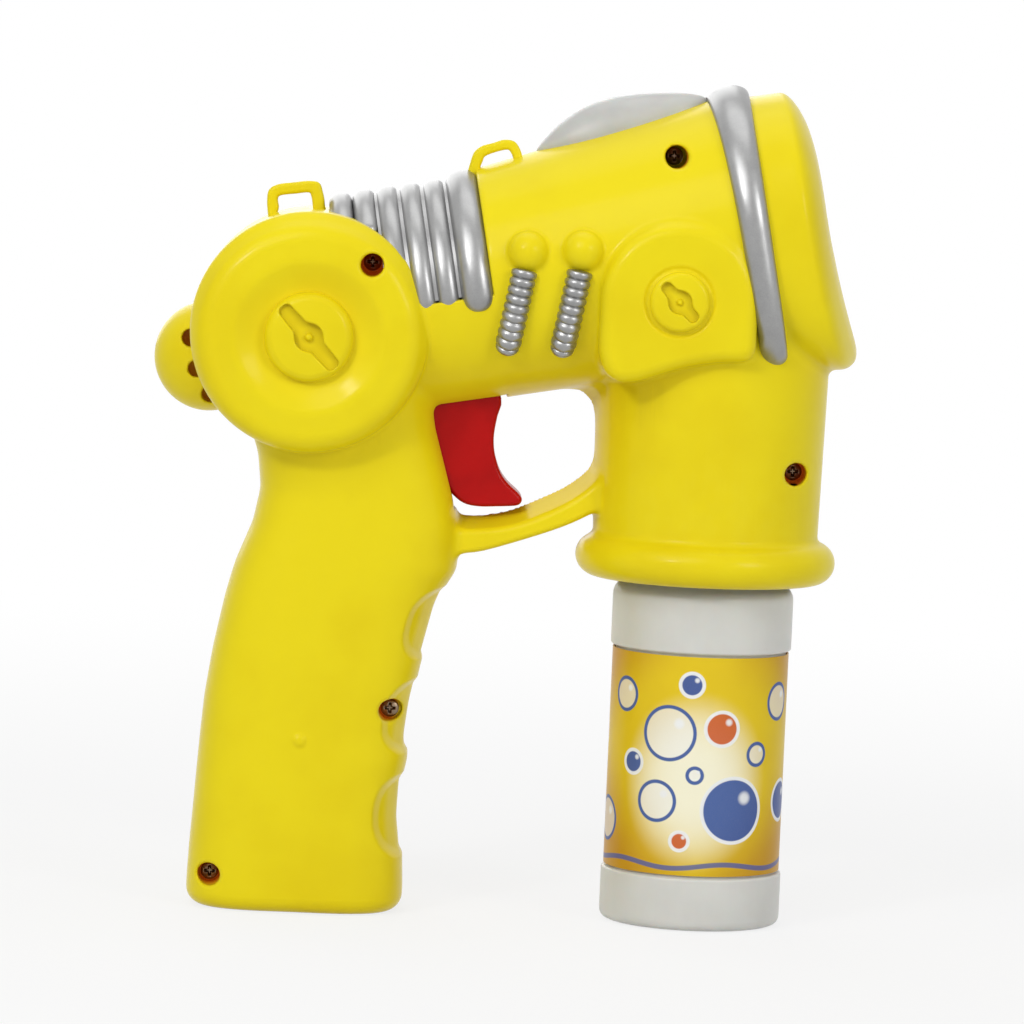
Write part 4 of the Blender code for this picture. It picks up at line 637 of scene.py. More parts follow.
def thinned(points, faces, ratio):
    # the mesh with its flat parts in fewer and larger triangles
    mesh = bpy.data.meshes.new("thick")
    mesh.from_pydata(points, [], faces.tolist())
    thick = placed("thick", mesh)
    thick.modifiers.new("thin", "DECIMATE").ratio = ratio
    bpy.context.view_layer.update()
    done = bpy.data.meshes.new_from_object(thick.evaluated_get(bpy.context.evaluated_depsgraph_get()))
    done.calc_loop_triangles()
    points = np.empty(len(done.vertices) * 3, np.float32)
    done.vertices.foreach_get("co", points)
    faces = np.empty(len(done.loop_triangles) * 3, np.int32)
    done.loop_triangles.foreach_get("vertices", faces)
    bpy.data.objects.remove(thick)
    bpy.data.meshes.remove(mesh)
    bpy.data.meshes.remove(done)
    return points.reshape(-1, 3).astype(float), faces.reshape(-1, 3)


felt = {"reach": 1.6, "crease": 0.9, "edge": 0.88}   # how far off the field is felt, and where tones start


def mouldedPiece(name, field, low, high, cell, look, body, slot, nodes, most=150000, hole=None):
    # the field's surface, thinned where it is flat, put back on the field, with the field's own normals
    cell *= coarse
    points, faces = netSurface(field, low, high, cell)
    points = ontoField(field, evened(points, faces, 2), 3, cell)
    if len(faces) * 2 > most:
        points, faces = thinned(points, faces, most / (len(faces) * 2))
        points = ontoField(field, points, 2, cell * 0.5)
    slope = fieldSlope(field, points)
    normals = slope / np.maximum(np.linalg.norm(slope, axis=1)[:, None], 1e-9)
    reach = felt["reach"]
    outside, within = (field(*(points + normals * r).T) / reach for r in (reach, -reach))
    # crease sets the painted crease shade, hole the painted hole shade and glow
    tones = {"crease": np.clip(felt["crease"] - outside, 0, 1),
             "edge": np.clip(felt["edge"] + within, 0, 1),
             "hole": hole(*points.T) if hole else np.zeros(len(points))}
    addPiece(name, points, faces, look, body, slot, nodes, normals=normals, tones=tones)
    print("moulded", name, len(faces), "faces")


# the two yellow halves

barrelShape = {"lean": 10.4, "neck": (-22.3, 144.0), "neckRadius": 25.9, "neckBack": 18.0, "neckEnd": 1.2,
               "seatRadius": 22.2, "seatDrop": 1.4, "hornStart": 17.0, "hornLength": 63.2, "hornRear": 26.5,
               "hornFront": 30.8, "hornRise": 5.2, "under": 0.8, "square": 3.3, "snoutRadius": 29.8,
               "snoutLength": 17.1, "nose": 5.4, "rimRadius": 17.6, "rimEdge": 1.7, "lipFlare": 0.0033,
               "lipDrop": 36.7, "ringFoot": 10.1, "mouthRadius": 16.0, "throatRadius": 13.2,
               "hollowRadius": 23.0, "hollowStart": 20.0, "hollowEnd": 36.0}
leanCos, leanSin = math.cos(math.radians(barrelShape["lean"])), math.sin(math.radians(barrelShape["lean"]))


def toLean(x, z):                            # along and across the leaning barrel
    return x * leanCos + z * leanSin, z * leanCos - x * leanSin


def fromLean(w, q):
    return w * leanCos - q * leanSin, w * leanSin + q * leanCos


neckW, neckQ = toLean(*barrelShape["neck"])
hornW = neckW + barrelShape["hornStart"]
hoopW = hornW + barrelShape["hornLength"]
hoopQ = neckQ + barrelShape["hornRise"]
rimW = hoopW + barrelShape["snoutLength"]
ringW = hoopW + barrelShape["ringFoot"]      # foot of the ring in the mouth
neckEnd = hornW + barrelShape["neckEnd"]


def barrelTable():
    # rows of (along, middle, half width, reach up, reach down, squareness), smoothed along the barrel; a last
    # column is how much longer the way on the wall is than the way along the barrel
    b = barrelShape
    under = b["under"]
    rows = [(neckW - 40, neckQ, *[b["neckRadius"]] * 2, b["neckRadius"] + under, 2.0),
            (hornW - 0.5, neckQ, *[b["neckRadius"]] * 2, b["neckRadius"] + under, 2.0),
            (hornW + 1.5, neckQ + 0.8, *[b["hornRear"]] * 2, b["hornRear"] + under, 2.0),
            (hoopW - 4, hoopQ - 0.3, *[b["hornFront"]] * 3, b["square"]),
            (hoopW + 4, hoopQ, *[b["snoutRadius"]] * 3, b["square"]),
            (hoopW + 8.3, hoopQ, *[b["snoutRadius"]] * 2, 0.96 * b["lipDrop"], 2.9)]
    for part, drop, down, power in ((0.0, 0.0, 0.985, 2.7), (0.38, 0.20, 0.98, 2.4), (0.61, 0.42, 0.96, 2.2),
                                    (0.86, 0.74, 0.935, 2.1), (1.0, 1.0, 0.90, 2.0), (1.5, 1.6, 0.76, 2.0)):
        r = b["snoutRadius"] - drop * (b["snoutRadius"] - b["rimRadius"])
        rows.append((rimW - b["nose"] * (1 - part), hoopQ, r, r, down * b["lipDrop"], power))
    along, columns = smoothTable(rows, neckW - 40, rimW + 3, 0.2, 0.8, 15)
    steep = np.sqrt(1 + np.gradient(columns[1], along) ** 2)
    return along, columns + [steep]


tableAlong, tableColumns = barrelTable()


def barrelDistance(x, y, z):
    # upper half an ellipse and lower half a squarer oval at each place along; near the rim each place bends
    # forward by the square of its depth below the middle, which gives the lower lip
    w, q = toLean(x, z)
    rise = q - neckQ
    side = np.abs(y)
    bend = barrelShape["lipFlare"] * np.clip(q - hoopQ, -40, 0) ** 2
    along = w - bend * smoothStep(w, hoopW + 4, rimW - 4)
    mid, half, up, down, power, steep = [np.interp(along, tableAlong, c) for c in tableColumns]
    q = q - mid
    upper = q >= 0
    rho = np.hypot(side / half, q / up)
    under = ~upper
    rho[under] = ((side[under] / half[under]) ** power[under]
                  + (-q[under] / down[under]) ** power[under]) ** (1 / power[under])
    wall = np.hypot(side, q) * (1 - 1 / np.maximum(rho, 1e-4))
    wall = wall / np.where(upper, steep, 1 + (steep - 1) * np.clip(side / half, 0, 1) ** 2)
    d = edgeRound(wall, along - rimW, barrelShape["rimEdge"])
    d = np.maximum(d, neckW - barrelShape["neckBack"] - w)
    inSeat = barrelShape["seatRadius"] - np.hypot(side, rise)
    return softMax(d, -shared(inSeat, w - neckEnd, -(rise + barrelShape["seatDrop"])), rims["seat"])


def barrelHalfWidth(x, z):
    # half width of the barrel's outside at a place in the middle plane
    w, q = toLean(x, z)
    mid, half, up, down, power = [np.interp(w, tableAlong, c) for c in tableColumns[:5]]
    q = q - mid
    above = np.sqrt(np.maximum(1 - (q / up) ** 2, 0))
    below = np.maximum(1 - (np.maximum(-q, 0) / down) ** power, 0) ** (1 / power)
    return half * np.where(q >= 0, above, below)


def crestHeight(x):
    # height of the barrel's top line
    mid, up = tableColumns[0], tableColumns[2]
    topX, topZ = fromLean(tableAlong, mid + up)
    return np.interp(x, topX, topZ)


# the last entry is how strongly the painted hole shade and glow show inside the ball behind the vents
drumShape = {"middle": (-46.0, 134.7), "radius": 27.0, "half": 24.6, "edge": 1.8, "raise": 1.5,
             "discRadius": 26.7, "discHalf": 29.0, "discEdge": 5.0, "dish": 1.7, "dishSpan": (10.5, 17.5),
             "hump": 0.4, "humpAt": 18.0, "humpWide": 2.4, "rearDome": (-69.4, 127.9, 12.8), "skin": 2.2,
             "vents": [(-73.6, 132.4), (-71.9, 125.4), (-68.6, 119.5)], "ventRadius": 2.0, "ventPaintedShade": 0.35}
# fillets where shapes of the wall meet, and the roundness of edges that are cut into it
fillets = {"flange": 1.6, "socket": 2.6, "plate": 1.8, "guard": 1.8, "grip": 2.2, "drum": 0.9, "disc": 2.4,
           "rearBall": 1.0, "ball": 0.9}
rims = {"seat": 0.5, "slot": 0.7, "mouth": 1.1, "hollow": 0.8, "vent": 0.6, "bore": 0.9, "bay": 0.5,
        "parting": 0.3}


def drumDistance(x, side, z):
    # a drum, a rounded disc on each end whose face dips round the cap, and a ball behind
    s = drumShape
    cx, cz = s["middle"]
    drum = edgeRound(np.hypot(x - cx, z - cz - s["raise"]) - s["radius"], side - s["half"], s["edge"])
    r = np.hypot(x - cx, z - cz)
    dip = s["dish"] * (1 - smoothStep(r, *s["dishSpan"]))
    hump = s["hump"] * np.exp(-((r - s["humpAt"]) / s["humpWide"]) ** 2)
    disc = edgeRound(r - s["discRadius"], side + dip - hump - s["discHalf"], s["discEdge"])
    return softMin(softMin(drum, disc, fillets["disc"]), rearBall(x, side, z), fillets["rearBall"])


def rearBall(x, side, z):
    bx, bz, br = drumShape["rearDome"]
    return np.sqrt((x - bx) ** 2 + side ** 2 + (z - bz) ** 2) - br


# rows of height, back, front and widening
gripShape = {"rows": [(-6.0, -69.9, -19.3, 0.0), (6.0, -69.9, -19.2, 0.0), (14.0, -69.6, -19.6, 0.0),
                      (22.0, -69.1, -20.6, 0.0), (31.0, -68.6, -20.3, 0.0), (36.0, -68.3, -19.2, 0.0),
                      (41.0, -68.0, -19.7, 0.0), (49.0, -67.4, -18.8, 0.0), (60.0, -65.9, -16.7, 0.0),
                      (72.0, -63.6, -13.9, 0.0), (76.5, -62.5, -12.1, 0.0), (80.5, -61.4, -9.6, 0.0),
                      (90.0, -57.7, -9.4, 0.0),
                      (98.0, -56.2, -11.0, 0.0), (106.0, -57.1, -13.4, 0.6), (114.0, -59.8, -15.8, 1.4),
                      (130.0, -61.0, -18.0, 2.0)],
             "half": 18.3, "square": 3.0, "foot": 3.8, "top": 124.0,
             "fingers": [(68.2, 9.0), (46.2, 9.2), (22.8, 10.2)],   # height, half height
             "fingerReach": 6.8, "fingerDeep": 1.7, "fingerEdge": 0.30, "dot": (-44.5, 40.5, 1.4),
             "dotRise": 0.6, "dotSide": -8}
gripHeight, gripColumns = smoothTable(gripShape["rows"], -6.0, 130.0, 0.25, 1.1, 20)


def gripDistance(x, side, z):
    # a squarish oval whose back and front follow the side view; each finger has a shallow hollow with a crisp
    # arched edge on both front corners, less deep on the middle line
    s = gripShape
    back, front, wide = [np.interp(z, gripHeight, c) for c in gripColumns]
    d = ovalDistance(x - (back + front) / 2, side, (front - back) / 2, s["half"] + wide, s["square"])
    corner = s["fingerDeep"] * (0.45 + 0.55 * smoothStep(side, 2.0, 9.0))
    for height, tall in s["fingers"]:
        r = np.hypot((x - front) / s["fingerReach"], np.abs((z - height) / tall) ** 1.3)
        d = d + corner * smoothStep(1 - r, 0.0, s["fingerEdge"])
    return np.maximum(edgeRound(d, -z, s["foot"]), z - s["top"])


socketShape = {"x": 48.4, "wallX": 48.15, "low": 26.3, "high": 27.1, "lowZ": 90.6, "highZ": 128.0,
               "top": 140.0, "flange": 30.4, "tube": 4.9, "flangeZ": 85.4, "bore": 24.6, "boreTop": 104.0}
# the outline's first points are on its outer side; the others widen away from the finger hole
guardShape = {"half": 9.0, "edge": 1.3, "widen": 3.5, "hole": (4.0, 109.0), "outerCount": 9,
              "outline": [(-16.0, 82.4), (-9.0, 84.6), (-3.6, 85.6), (5.9, 88.7), (14.4, 91.9), (20.6, 95.0),
                          (27.0, 98.9), (28.5, 112.0), (27.0, 128.0), (12.6, 125.0), (17.4, 123.4),
                          (20.6, 120.3), (22.3, 116.4), (22.8, 112.2), (21.9, 108.0), (18.9, 104.0),
                          (14.2, 100.5), (8.4, 97.6), (2.0, 94.8), (-6.0, 93.2), (-16.0, 92.6)]}
plateShape = {"x": 38.3, "z": 146.4, "radius": 18.0, "half": 32.0, "edge": 3.0, "groove": (7.6, 0.5, 0.6),
              "low": [(20.3, 140.0), (20.5, 134.0), (21.9, 129.8), (25.0, 127.6), (29.5, 127.8),
                      (35.0, 129.7), (41.0, 131.6), (48.0, 132.9), (54.0, 133.4), (56.1, 135.6),
                      (56.3, 140.0)]}
guardPoints = np.array(guardShape["outline"])
guardAway = guardPoints - guardShape["hole"]
guardInner = np.arange(len(guardPoints)) >= guardShape["outerCount"]
guardAway *= (guardShape["widen"] / np.linalg.norm(guardAway, axis=1) * guardInner)[:, None]
guardMiddle, guardFace = smoothRoute(guardPoints, 3, True), smoothRoute(guardPoints + guardAway, 3, True)
plateArc = np.radians(np.linspace(0, 180, 40))
plateOutline = np.vstack([np.stack([plateShape["x"] + plateShape["radius"] * np.cos(plateArc),
                                    plateShape["z"] + plateShape["radius"] * np.sin(plateArc)], -1),
                          smoothRoute(plateShape["low"], 3)])
ballShape = {"radius": 4.8, "sink": 1.0, "places": [(3.4, 156.2), (16.0, 157.0)]}


def wallDistance(x, y, z):
    # the outside of both halves: barrel, socket, plates, guard, grip, drum and balls, with their fillets
    side = np.abs(y)
    d = barrelDistance(x, y, z)
    s = socketShape
    r = np.hypot(x - s["x"], side)
    wall = s["low"] + (s["high"] - s["low"]) * np.clip((z - s["lowZ"]) / (s["highZ"] - s["lowZ"]), 0, 1)
    tube = shared(np.hypot(x - s["wallX"], side) - wall, s["flangeZ"] - z, z - s["top"])
    flange = np.hypot(r - (s["flange"] - s["tube"]), z - s["flangeZ"]) - s["tube"]
    d = softMin(d, softMin(tube, flange, fillets["flange"]), fillets["socket"])
    ring, deep, wide = plateShape["groove"]
    face = side + deep * np.exp(-((np.hypot(x - plateShape["x"], z - plateShape["z"]) - ring) / wide) ** 2)
    plate = edgeRound(outlineDistance(x, z, plateOutline), face - plateShape["half"], plateShape["edge"])
    d = softMin(d, plate, fillets["plate"])
    out = np.clip(side / guardShape["half"], 0, 1)
    guard = (1 - out) * outlineDistance(x, z, guardMiddle) + out * outlineDistance(x, z, guardFace)
    d = softMin(d, edgeRound(guard, side - guardShape["half"], guardShape["edge"]), fillets["guard"])
    d = softMin(d, gripDistance(x, side, z), fillets["grip"])
    d = softMin(d, drumDistance(x, side, z), fillets["drum"])
    for bx, bz in ballShape["places"]:
        by = barrelHalfWidth(bx, bz) - ballShape["sink"]
        ball = np.sqrt((x - bx) ** 2 + (side - by) ** 2 + (z - bz) ** 2) - ballShape["radius"]
        d = softMin(d, ball, fillets["ball"])
    dx, dz, dr = gripShape["dot"]
    dot = gripShape["dotRise"] * np.exp(-(np.hypot(x - dx, z - dz) / dr) ** 4)
    return d - dot * (y < gripShape["dotSide"])


triggerSlot = {"back": -24.0, "front": 0.2, "half": 6.8, "low": 95.0, "high": 131.0}
trayShape = {"x": -45.4, "z": 48.0, "lean": 6.0, "half": 16.0, "end": 27.5, "floor": -6.2, "doorLow": -36.0,
             "doorTop": 30.0, "doorFloor": 9.3, "doorBack": 8.0, "doorWall": 2.2, "gap": 0.3, "lowGap": 0.9,
             "rim": 0.8, "screwUp": -32.0, "boss": 4.0, "seat": 13.0, "well": 2.4}
trayCos, traySin = math.cos(math.radians(trayShape["lean"])), math.sin(math.radians(trayShape["lean"]))


def toTray(x, z):                            # across and along the leaning battery line
    dx, dz = x - trayShape["x"], z - trayShape["z"]
    return dx * trayCos - dz * traySin, dx * traySin + dz * trayCos


def fromTray(a, b):
    return trayShape["x"] + a * trayCos + b * traySin, trayShape["z"] - a * traySin + b * trayCos


def hollowed(d, x, y, z):
    # trigger slot, mouth with the hollow behind it, vents in the rear ball, bottle bore and the bay for the
    # battery tray
    side = np.abs(y)
    t = triggerSlot
    slot = shared(t["back"] - x, x - t["front"], side - t["half"], t["low"] - z, z - t["high"])
    d = softMax(d, -slot, rims["slot"])
    w, q = toLean(x, z)
    r = np.hypot(side, q - hoopQ)
    mouth = np.maximum(r - barrelShape["mouthRadius"], ringW - 0.3 - w)
    d = softMax(d, -mouth, rims["mouth"])
    hollowEnd = rimW - barrelShape["hollowEnd"]
    reach = np.clip(w, hornW + barrelShape["hollowStart"], hollowEnd)
    throat = np.maximum(r - barrelShape["throatRadius"], hollowEnd - w)
    inner = np.minimum(np.hypot(r, w - reach) - barrelShape["hollowRadius"], throat)
    d = softMax(d, -inner, rims["hollow"])
    ball = rearBall(x, side, z)
    vent = np.maximum(ball + drumShape["skin"], 1.6 - side)
    for vx, vz in drumShape["vents"]:
        hole = shared(np.hypot(x - vx, z - vz) - drumShape["ventRadius"], 4.0 - side, ball - 0.8)
        vent = np.minimum(vent, hole)
    d = softMax(d, -vent, rims["vent"])
    bore = np.hypot(x - socketShape["x"], side) - socketShape["bore"]
    d = softMax(d, -np.maximum(bore, z - socketShape["boreTop"]), rims["bore"])
    a, b = toTray(x, z)
    t, gap = trayShape, trayShape["gap"]
    bay = shared(np.abs(a) - t["half"] - gap, np.abs(b) - t["end"] - gap, t["floor"] - gap - y)
    return softMax(d, -bay, rims["bay"])


wellShape = {"radius": 2.65, "floor": 6.0, "rim": 1.0,
             "places": [(-32.2, 151.7), (36.6, 179.2), (67.5, 107.1), (-23.9, 47.9), (-64.4, 8.0)]}
partingShape = {"inside": 0.02, "groove": 0.14, "depth": 1.2}     # the halves' gap from the middle plane


def partingGap(wall):
    # a hair's breadth inside, opening to a fine groove at the outside
    return partingShape["inside"] + partingShape["groove"] * smoothStep(wall, -partingShape["depth"], -0.3)


def nearHalf(x, y, z):
    wall = wallDistance(x, y, z)
    d = hollowed(wall, x, y, z)
    for wx, wz in wellShape["places"]:
        hole = np.maximum(np.hypot(x - wx, z - wz) - wellShape["radius"], y + wellShape["floor"])
        d = softMax(d, -hole, wellShape["rim"])
    return softMax(d, y + partingGap(wall), rims["parting"])


def holeDepth(x, y, z):
    # how much painted hole shade and glow a point gets: 0 on the outside, 1 well down a screw well, less
    # inside the ball behind the drum
    deep = smoothStep(-wallDistance(x, y, z), 0.5, 3.5)
    narrow = drumShape["ventPaintedShade"] * (rearBall(x, np.abs(y), z) < -1.2)
    for wx, wz in wellShape["places"]:
        narrow = np.maximum(narrow, (np.hypot(x - wx, z - wz) < wellShape["radius"] + 0.4) & (y < 0))
    return deep * narrow


def doorBox(x, z, gap, lowGap):
    # the door's place on the far side of the grip
    a, b = toTray(x, z)
    t = trayShape
    return shared(np.abs(a) - t["half"] - gap, t["doorLow"] - lowGap - b, b - t["doorTop"] - gap)


def farHalf(x, y, z):
    wall = wallDistance(x, y, z)
    d = hollowed(wall, x, y, z)
    recess = np.maximum(doorBox(x, z, trayShape["gap"], trayShape["lowGap"]), trayShape["doorFloor"] - y)
    d = softMax(d, -recess, trayShape["rim"])
    return softMax(d, partingGap(wall) - y, rims["parting"])


def doorField(x, y, z):
    # the far wall's own skin inside the door's outline, with a boss and a well for its screw
    wall = wallDistance(x, y, z)
    t = trayShape
    d = softMax(wall, -wall - t["doorWall"], 0.4)
    d = softMax(d, doorBox(x, z, 0.0, 0.0), t["rim"])
    sx, sz = fromTray(0.0, t["screwUp"])
    r = np.hypot(x - sx, z - sz)
    d = softMin(d, shared(r - t["boss"], t["doorFloor"] - y, wall + 0.6), 0.6)
    d = softMax(d, -np.maximum(r - t["well"], t["seat"] - y), 0.6)
    return np.maximum(d, t["doorBack"] - y)


boxStart, boxEnd = cadBox[0][0] / mm - 2, cadBox[1][0] / mm + 2
for name, field, node, low, high in (("nearHalf", nearHalf, "right_shell", -35.5, 1.5),
                                     ("farHalf", farHalf, "left_shell", -1.5, 35.5)):
    mouldedPiece(name, field, (boxStart, low, -2), (boxEnd, high, 197), 0.5, *yellowBody, [node],
                 hole=holeDepth)
mouldedPiece("batteryDoor", doorField, (-70, 7, 6), (-20, 22, 84), 0.42, "yellow", "battery_door",
             "yellow_plastic", ["battery_door"], 90000)


# caps with a screwdriver slot, on both sides

capShape = {"drum": {"middle": (-46.0, 134.7), "radius": 10.3, "foot": 26.6, "top": 31.4, "crown": 1.1,
                     "edge": 2.1, "slot": 3.7, "slotEnd": 0.9, "depth": 2.1, "hub": 3.3, "turn": -47.0,
                     "dot": 0.9},
            "pivot": {"middle": (38.3, 146.4), "radius": 6.9, "foot": 30.4, "top": 34.1, "crown": 0.5,
                      "edge": 1.2, "slot": 2.9, "slotEnd": 0.82, "depth": 1.7, "hub": 2.7, "turn": -46.0,
                      "dot": 0.7}}


def capField(shape, way):
    cx, cz = shape["middle"]
    c, s = math.cos(math.radians(shape["turn"])), math.sin(math.radians(shape["turn"]))

    def field(x, y, z):
        # a crowned button, less a slot with a round middle that holds a small dot
        h = y * way
        r = np.hypot(x - cx, z - cz)
        top = shape["top"] - shape["crown"] * (r / shape["radius"]) ** 2
        d = np.maximum(edgeRound(r - shape["radius"], h - top, shape["edge"]), shape["foot"] - h)
        along, across = (x - cx) * c + (z - cz) * s, (z - cz) * c - (x - cx) * s
        wide = shape["slot"] / 2 * (1 - 0.25 * (along / shape["radius"]) ** 2)
        bar = softMax(np.abs(across) - wide, np.abs(along) - shape["radius"] * shape["slotEnd"], 1.2)
        floor = shape["top"] - shape["depth"] - shape["crown"] * 0.4
        slot = np.maximum(softMin(bar, r - shape["hub"], 0.8), floor - h)
        d = softMax(d, -slot, 0.55)
        dot = np.sqrt(r ** 2 + (h - shape["top"] + shape["depth"]) ** 2) - shape["dot"]
        return softMin(d, dot, 0.4)
    return field


for capName, cap in capShape.items():
    for way, sideName, shell in ((-1, "Near", "right_shell"), (1, "Far", "left_shell")):
        (cx, cz), r = cap["middle"], cap["radius"] + 1.5
        ends = sorted((way * (cap["foot"] - 1), way * (cap["top"] + 1.2)))
        low, high = (cx - r, ends[0], cz - r), (cx + r, ends[1], cz + r)
        mouldedPiece(capName + "Cap" + sideName, capField(cap, way), low, high, 0.24, *yellowBody, [shell],
                     40000)


# strap loops, on the near half beside the parting line

strapShape = {"low": -3.05, "high": -0.15, "edge": 0.85,
              "rear": {"shift": (0.3, -0.3), "fill": 0.65,
                       "outer": [(-56.6, 157.0), (-57.3, 161.3), (-57.7, 165.0), (-57.3, 167.6),
                                 (-55.2, 168.9), (-51.6, 169.5), (-48.0, 170.0), (-45.7, 169.6),
                                 (-44.8, 167.5), (-44.2, 164.5), (-44.0, 158.0)],
                       "inner": [(-55.0, 161.6), (-55.5, 163.7), (-55.8, 165.7), (-54.8, 166.9),
                                 (-51.2, 167.5), (-47.9, 167.9), (-46.9, 166.8), (-46.4, 164.0),
                                 (-46.6, 161.6)]},
              "front": {"shift": (-1.3, 0.1), "fill": 0.0,
                        "outer": [(-9.0, 169.6), (-9.0, 176.4), (-7.2, 179.1), (-4.2, 180.2), (-1.4, 181.1),
                                  (1.2, 180.5), (2.9, 177.2), (3.8, 172.0)],
                        "inner": [(-6.3, 173.6), (-6.3, 176.0), (-5.4, 177.3), (-1.4, 178.7), (0.0, 178.3),
                                  (1.0, 175.6), (0.6, 173.4)]}}


def strapField(shape):
    outer, inner = (smoothRoute(shape[k], 4, True) + shape["shift"] for k in ("outer", "inner"))
    middle, half = (strapShape["low"] + strapShape["high"]) / 2, (strapShape["high"] - strapShape["low"]) / 2

    def field(x, y, z):
        # the outline less its hole, carried across the loop's thickness with rounded edges
        ring = softMax(outlineDistance(x, z, outer), -outlineDistance(x, z, inner) - shape["fill"], 0.3)
        return edgeRound(ring, np.abs(y - middle) - half, strapShape["edge"])
    return field


for end in ("rear", "front"):
    outline = np.array(strapShape[end]["outer"]) + strapShape[end]["shift"]
    (x0, z0), (x1, z1) = outline.min(0) - 1.2, outline.max(0) + 1.2
    mouldedPiece("strapLoop" + end.title(), strapField(strapShape[end]), (x0, -4, z0), (x1, 1, z1), 0.28,
                 *yellowBody, ["right_shell"], 40000)


# trigger

triggerShape = {"half": 6.4, "edge": 1.1, "pivot": (-9.0, 125.8), "pin": 1.6,
                "outline": [(-1.0, 121.2), (-1.7, 117.0), (-2.3, 112.9), (-2.2, 109.6), (-1.5, 106.6),
                            (-0.4, 103.8), (1.4, 101.4), (3.8, 99.3), (4.8, 98.0), (4.5, 96.8), (3.2, 96.2),
                            (-0.8, 95.9), (-4.8, 95.7), (-8.0, 96.1), (-10.4, 97.4), (-13.4, 100.4),
                            (-15.5, 103.4), (-17.0, 107.0), (-18.2, 110.4), (-19.0, 114.0), (-19.6, 119.0),
                            (-17.6, 124.0), (-14.0, 128.0), (-9.0, 129.9), (-5.0, 127.6)]}
triggerOutline = smoothRoute(triggerShape["outline"], 3, True)


def triggerField(x, y, z):
    # the side view carried across its thickness with rounded edges, and a bore for the pin
    s = triggerShape
    px, pz = s["pivot"]
    d = edgeRound(outlineDistance(x, z, triggerOutline), np.abs(y) - s["half"], s["edge"])
    return softMax(d, s["pin"] - np.hypot(x - px, z - pz), 0.4)


mouldedPiece("trigger", triggerField, (-22, -8, 93), (8, 8, 132), 0.4, "red", "trigger", "red_plastic",
             ["trigger"], 60000)


# silver trims

def wrappedRib(path, outward, along, height, half, sink, square=2.0):
    # a rib with straight flanks and a round or squarer back carried along a path, shrinking at both ends
    height, half = (np.broadcast_to(np.asarray(v, float), len(path)) for v in (height, half))
    run = runLength(path)
    left = np.minimum(run, run[-1] - run)
    end = np.sqrt(np.clip(1 - (1 - np.clip(left / np.maximum(half, 1e-6), 0, 1)) ** 2, 0.0004, 1))
    angle = np.linspace(0, np.pi, 26)
    up = np.concatenate([np.abs(np.sin(angle)) ** (2 / square), [-sink, -sink]])
    out = np.concatenate([np.sign(np.cos(angle)) * np.abs(np.cos(angle)) ** (2 / square), [-0.96, 0.96]])
    flank = np.maximum(height - half, 0)[:, None] * (up > -1e-9)
    back = (flank + up[None] * np.minimum(height, half)[:, None]) * end[:, None]
    rise = np.where(up[None] >= 0, back, up[None])
    across = out[None] * (half * end)[:, None]
    points = path[:, None] + outward[:, None] * rise[..., None] + along[:, None] * across[..., None]
    return points.reshape(-1, 3), sweptFaces(*points.shape[:2])


def joined(parts):
    # several (points, faces) as one
    shift = np.cumsum([0] + [len(p) for p, _ in parts[:-1]])
    return np.vstack([p for p, _ in parts]), np.vstack([f + s for (_, f), s in zip(parts, shift)])


sleeveShape = {"first": -13.9, "pitch": 5.45, "count": 5, "outer": 26.2, "half": 2.72, "base": 22.5,
               "valley": 25.0, "bigOuter": 27.7, "bigHalf": 4.0, "start": -9.0, "end": 189.0,
               "bigStart": -13.0, "bigEnd": 193.0, "square": 2.2, "bandBack": 6.0, "bandFront": 0.6}


def aroundNeck(start, end, w, r, steps=140):
    # a path round the neck's axis, with its outward and along directions
    a = np.radians(np.linspace(start, end, steps))
    out = np.stack([-np.sin(a) * leanSin, np.cos(a), np.sin(a) * leanCos], -1)
    x, z = fromLean(w, neckQ)
    along = np.tile([leanCos, 0.0, leanSin], (steps, 1))
    return np.array([x, 0.0, z]) + out * r, out, along


def clearOfDrum(w):
    # the part of a rib's way round that isn't buried in the drum
    path = aroundNeck(sleeveShape["start"], sleeveShape["end"], w, sleeveShape["outer"], 400)[0]
    clear = np.nonzero(drumDistance(path[:, 0], np.abs(path[:, 1]), path[:, 2]) > -1.5)[0]
    angle = np.linspace(sleeveShape["start"], sleeveShape["end"], 400)
    return angle[clear[0]], angle[clear[-1]]


def sleeveRib(start, end, w, outer, half):
    # one rib, between two angles round the neck
    base = sleeveShape["base"]
    return wrappedRib(*aroundNeck(start, end, w, base), outer - base, half, 0.0, sleeveShape["square"])


def sleeveBand():
    # the flat band between the ribs: its four corners carried round the neck
    s = sleeveShape
    angle = np.radians(np.linspace(-2, 182, 90))[:, None]
    start, end = neckW - s["bandBack"], neckEnd - s["bandFront"]
    radius = np.array([s["base"], s["valley"], s["valley"], s["base"]])
    x, z = fromLean(np.array([start, start, end, end]) + 0 * angle, neckQ + radius * np.sin(angle))
    points = np.stack([x, radius * np.cos(angle), z], -1)
    return points.reshape(-1, 3), sweptFaces(*points.shape[:2])


def sleeveParts():
    s = sleeveShape
    for k in range(s["count"]):
        w = neckW + s["first"] + k * s["pitch"]
        yield sleeveRib(*clearOfDrum(w), w, s["outer"], s["half"])
    yield sleeveRib(s["bigStart"], s["bigEnd"], neckEnd + 0.5 - s["bigHalf"], s["bigOuter"], s["bigHalf"])
    yield sleeveBand()


addPiece("neckSleeve", *joined(list(sleeveParts())), *silverBody, ["neck_sleeve"])

hoopShape = {"rise": 2.4, "topHalf": 4.9, "endHalf": 3.1, "taper": 0.12, "tilt": 0.026, "reach": 66.0,
             "sink": 3.0, "radius": 30.8, "square": 3.8, "drop": 1.05}


